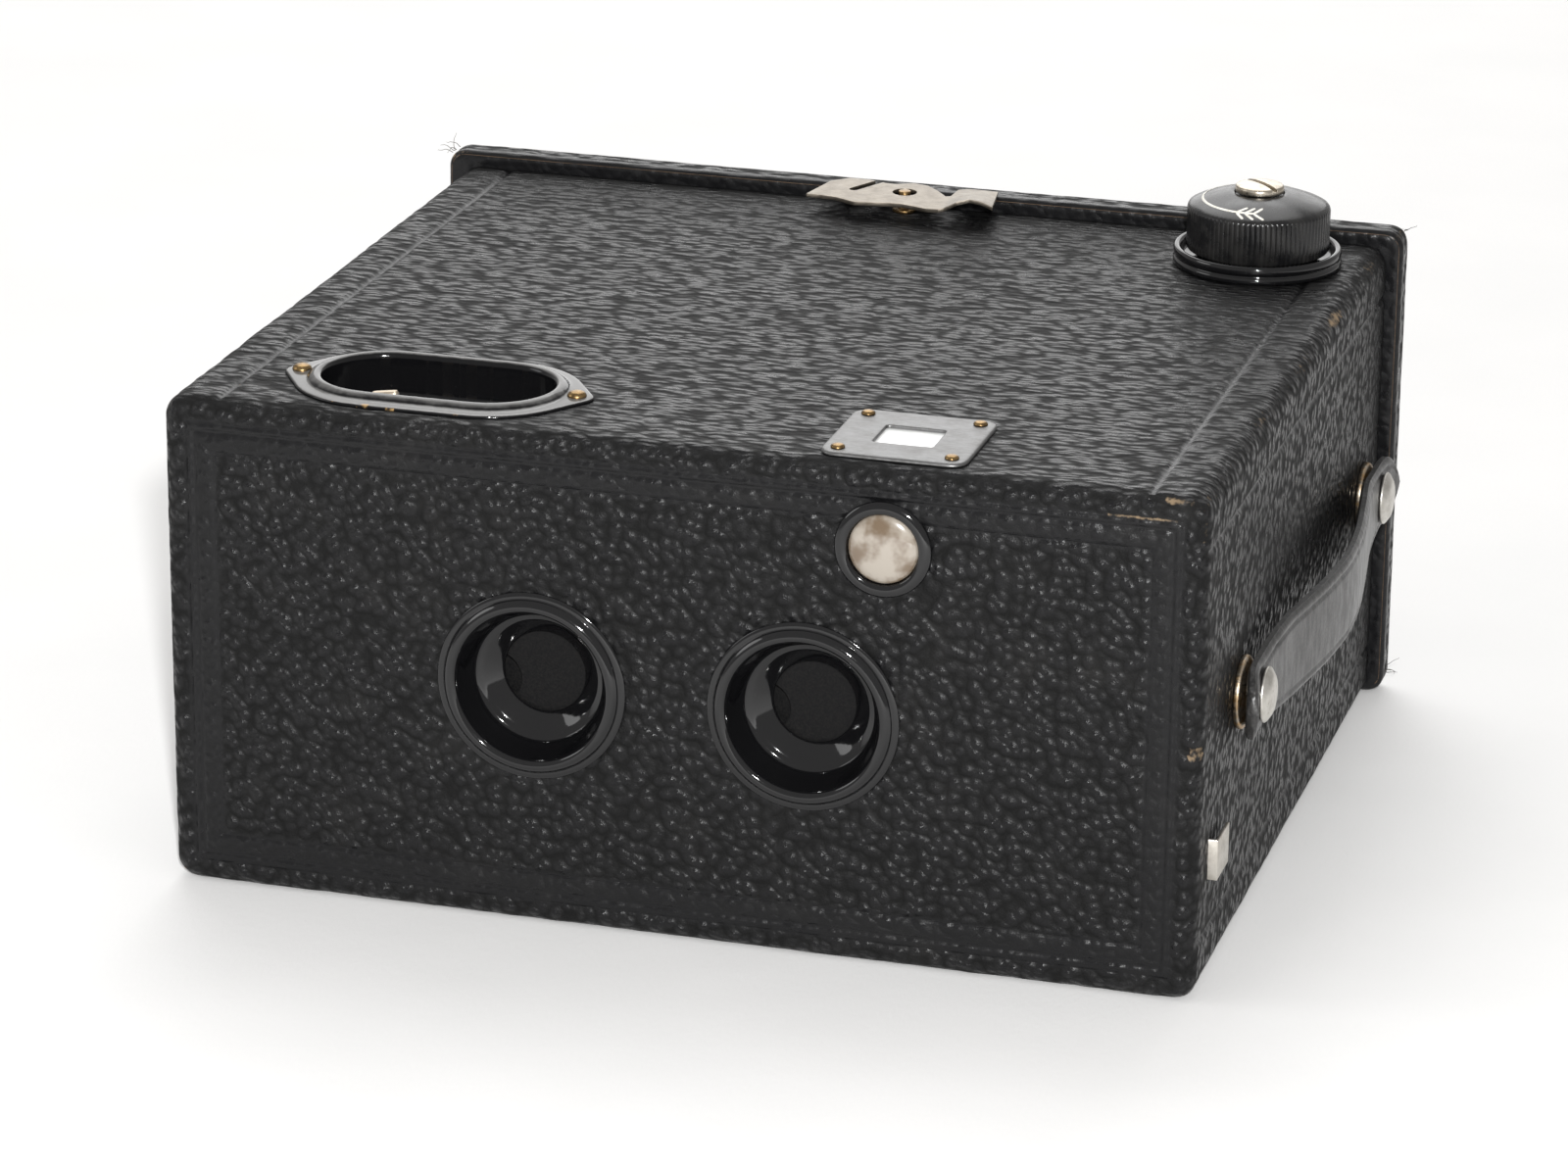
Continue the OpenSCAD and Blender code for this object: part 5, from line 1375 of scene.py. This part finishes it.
def strap_fasteners(stud_look, washer_look):
    """The strap's two domed studs and the washers behind it."""
    washer_low, washer_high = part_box("strap_washers")
    head_r = radius("strap_studs", 2)
    head_t = 1.6
    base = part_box("strap_studs")[1].x / MM - head_t
    wall = washer_low.x / MM
    tall = washer_high.x / MM - wall
    washer_r = radius("strap_washers", 2)
    shank = [(1.6, wall - 4.5), (1.6, base - 0.1)]
    head = [(head_r - 0.4, base), (head_r, base + 0.15), (head_r, base + 0.5)]
    head += [(head_r - 0.35, base + 0.8), (head_r * 0.6, base + head_t), (0.02, base + head_t)]
    ring = [(1.7, wall + 0.02), (washer_r - 0.2, wall + 0.02), (washer_r, wall + 0.3)]
    ring += [(washer_r, wall + 0.9), (washer_r - 0.5, wall + tall - 0.3)]
    ring += [(washer_r - 1.3, wall + tall - 0.02), (1.7, wall + tall - 0.02)]
    studs, washers = [], []
    for y in stud_places():
        at = (0, y * MM, middle("strap_studs").z)
        studs.append(lathe_mesh(mm(shank + head), at, "x", 56))
        washers.append(lathe_mesh(mm(ring), at, "x", 56, loop=True))
    for name, look, bms, node in (
        ("nickel_studs", stud_look, studs, "strap_studs"),
        ("worn_washers", washer_look, washers, "strap_washers"),
    ):
        new_piece(name, "case", look, "nickel", join_meshes(bms), replaces=(node,))


# ---- latch ---------------------------------------------------------------------------------------

# Places along the leaf from its left tip to its right end, from the post in millimetres:
# front edge x and y, rear edge x and y, and how far the front edge arches up.
LATCH_EDGES = [
    (-14.9, -6.0, -14.7, -5.0, 0), (-12.8, -5.7, -13.4, 3.8, -0.1), (-10.2, -5.4, -10.9, 5.6, -0.2),
    (-6.6, -7.8, -7.4, 5.6, -0.35), (-2.9, -7.0, -3.9, 3.9, -0.2), (-0.9, -6.7, -2.5, 3.7, -0.15),
    (1.1, -6.6, -0.2, 6.0, -0.15), (3.3, -7.0, 2.7, 5.0, -0.25), (5.5, -7.7, 4.9, 2.4, -0.35),
    (7.9, -7.9, 7.3, -1.2, -0.2), (8.5, -7.6, 7.9, -1.1, 0), (8.8, -7.4, 7.7, 4.8, 0.15),
    (10.3, -6.2, 9.3, 4.9, 0.9), (12.3, -5.8, 11.1, 4.9, 1.5), (14.3, -5.8, 12.8, 4.8, 1.2),
    (16.1, -5.8, 14.4, 4.7, 0.4),
]
LATCH_SLOT = ((-8.4, -0.6), (-5.6, 4.6))


def latch_leaf(look):
    """Spring leaf: tapered left lobe, round middle on the post, neck and an arched finger tab."""
    low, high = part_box("latch_leaf")
    thick = 0.6
    base = low.z / MM + thick / 2 + 0.02
    post = middle("latch_post") / MM
    sharp = np.array(LATCH_EDGES, float)
    soft = sharp.copy()
    soft[1:-1] = 0.15 * sharp[:-2] + 0.7 * sharp[1:-1] + 0.15 * sharp[2:]
    marks = np.arange(len(soft))
    rings = []
    for s in np.linspace(0, len(soft) - 1, 150):
        x0, y0, x1, y1, arch = (np.interp(s, marks, column) for column in soft.T)
        upper, lower = [], []
        for t in np.linspace(0, 1, 17):
            x, y = post.x + x0 + (x1 - x0) * t, post.y + y0 + (y1 - y0) * t
            z = base + arch * (1 - t) ** 1.3
            upper.append((x, y, z + thick / 2))
            lower.append((x, y, z - thick / 2))
        rings.append([Vector(p) * MM for p in upper + lower[::-1]])
    bm = loft_mesh(rings)
    piece = new_piece("nickel_latch_leaf", "latch", look, "nickel", bm, replaces=("latch_leaf",))
    eye_at = (post.x * MM, post.y * MM, high.z)
    eye = lathe_mesh(mm([(2.0, -4), (2.0, 4)]), eye_at, "z", 40, rounds=0)
    slot_from, slot_to = (Vector((post.x + x, post.y + y, base)) for x, y in LATCH_SLOT)
    slot_way = (slot_to - slot_from).normalized()
    side = Vector((-slot_way.y, slot_way.x, 0))
    outline = []
    for tip, sign in ((slot_to, 1), (slot_from, -1)):
        for k in range(9):
            a = math.pi * (k / 8 - 0.5)
            outline.append(tip + 0.75 * (sign * math.cos(a) * slot_way + sign * math.sin(a) * side))
    slot = loft_mesh([[(p + Vector((0, 0, dz))) * MM for p in outline] for dz in (-3, 3)])
    carve(piece, [eye, slot])
    round_edges(piece, 0.12 * MM, angle=40)


# ---- everything ----------------------------------------------------------------------------------


def floor(look):
    """The table that the camera stands on."""
    bm = bmesh.new()
    bmesh.ops.create_grid(bm, x_segments=40, y_segments=40, size=3.0)
    mesh = made_mesh("table", bm)
    mesh.materials.append(look)
    table = placed("table", mesh)
    table.location.z = cad_box[0].z - 0.02 * MM


def dress(looks):
    """Gives each CAD node that stays visible the look of its material slot."""
    slots = {row["node"]: row["material_slot"] for row in frame["record"]["subparts"]}
    for node, piece in frame["nodes"].items():
        piece.data.materials.clear()
        piece.data.materials.append(looks[slots[node]])


# Each metal: its light, dark and stained colours, its least and most roughness, and the size of its
# clouds in millimetres.
METALS = {
    "nickel": ((0.6, 0.57, 0.52), (0.44, 0.41, 0.36), (0.2, 0.16, 0.11)),
    "steel": ((0.5, 0.5, 0.5), (0.36, 0.36, 0.36), (0.18, 0.13, 0.09)),
    "brass": ((0.3, 0.2, 0.09), (0.16, 0.1, 0.045), (0.04, 0.03, 0.02), (0.22, 0.42), 1.0),
    "plate_nickel": ((0.19, 0.19, 0.19), (0.15, 0.148, 0.145), (0.09, 0.08, 0.07), (0.36, 0.5), 3.0),
    "tab_nickel": ((0.62, 0.54, 0.43), (0.5, 0.42, 0.32), (0.3, 0.22, 0.14), (0.35, 0.55), 1.0),
    "screw_nickel": ((0.55, 0.5, 0.42), (0.4, 0.35, 0.28), (0.2, 0.15, 0.1), (0.22, 0.4), 1.4),
    "stud_nickel": ((0.62, 0.6, 0.56), (0.48, 0.46, 0.42), (0.25, 0.2, 0.14), (0.3, 0.5), 1.6),
    "washer_brass": ((0.45, 0.4, 0.33), (0.42, 0.26, 0.11), (0.16, 0.1, 0.06), (0.25, 0.45), 1.6),
    "latch_nickel": ((0.26, 0.23, 0.19), (0.19, 0.165, 0.135), (0.1, 0.08, 0.055), (0.32, 0.48), 2.4),
}


def metal(name):
    return satin_metal_look(name, *METALS[name])


make_camera()
make_studio()

enamel = enamel_look("black_enamel", 0.04, 0.1, 0.55)
leatherette = leatherette_look()
brass = metal("brass")
looks = {
    "leatherette": leatherette,
    "wood": wood_look(),
    "black_enamel": enamel,
    "dull_black": dull_black_look(),
    "nickel": metal("nickel"),
    "steel": metal("steel"),
    "brass": brass,
    "glass": clear_glass_look(),
    "ground_glass": ground_glass_look(),
    "mirror": mirror_look(),
    "strap_leather": strap_look(),
    "ruby": ruby_look(),
    "spool_red": spool_look(),
}
dress(looks)
floor(table_look())

case_covering(leatherette)
back_covering(leatherette)
loose_threads(thread_look())
lens_eyelet("left_lens_eyelet", enamel)
lens_eyelet("right_lens_eyelet", enamel)
finder_front(enamel, finder_lens_look())
finder_plate(metal("plate_nickel"))
pins(brass)
# The well's enamel gets painted glare on its level faces.
lever_well(enamel_look("well_enamel", 0.07, 0.16, 0.32, dulling_and_glare=True))
lever_tab(metal("tab_nickel"))
knob_flange(enamel)
winding_knob(knob_look())
knob_arrow(arrow_paint_look())
knob_screw(metal("screw_nickel"))
strap(looks["strap_leather"])
strap_fasteners(metal("stud_nickel"), metal("washer_brass"))
latch_leaf(metal("latch_nickel"))
for node, slot, width in (
    ("time_slide", "nickel", 0.12),
    ("latch_post", "brass", 0.12),
    ("winding_bush", "brass", 0.15),
    ("body_hinge_leaf", "nickel", 0.1),
    ("cover_hinge_leaf", "nickel", 0.1),
):
    softened(node, looks[slot], slot, width * MM)
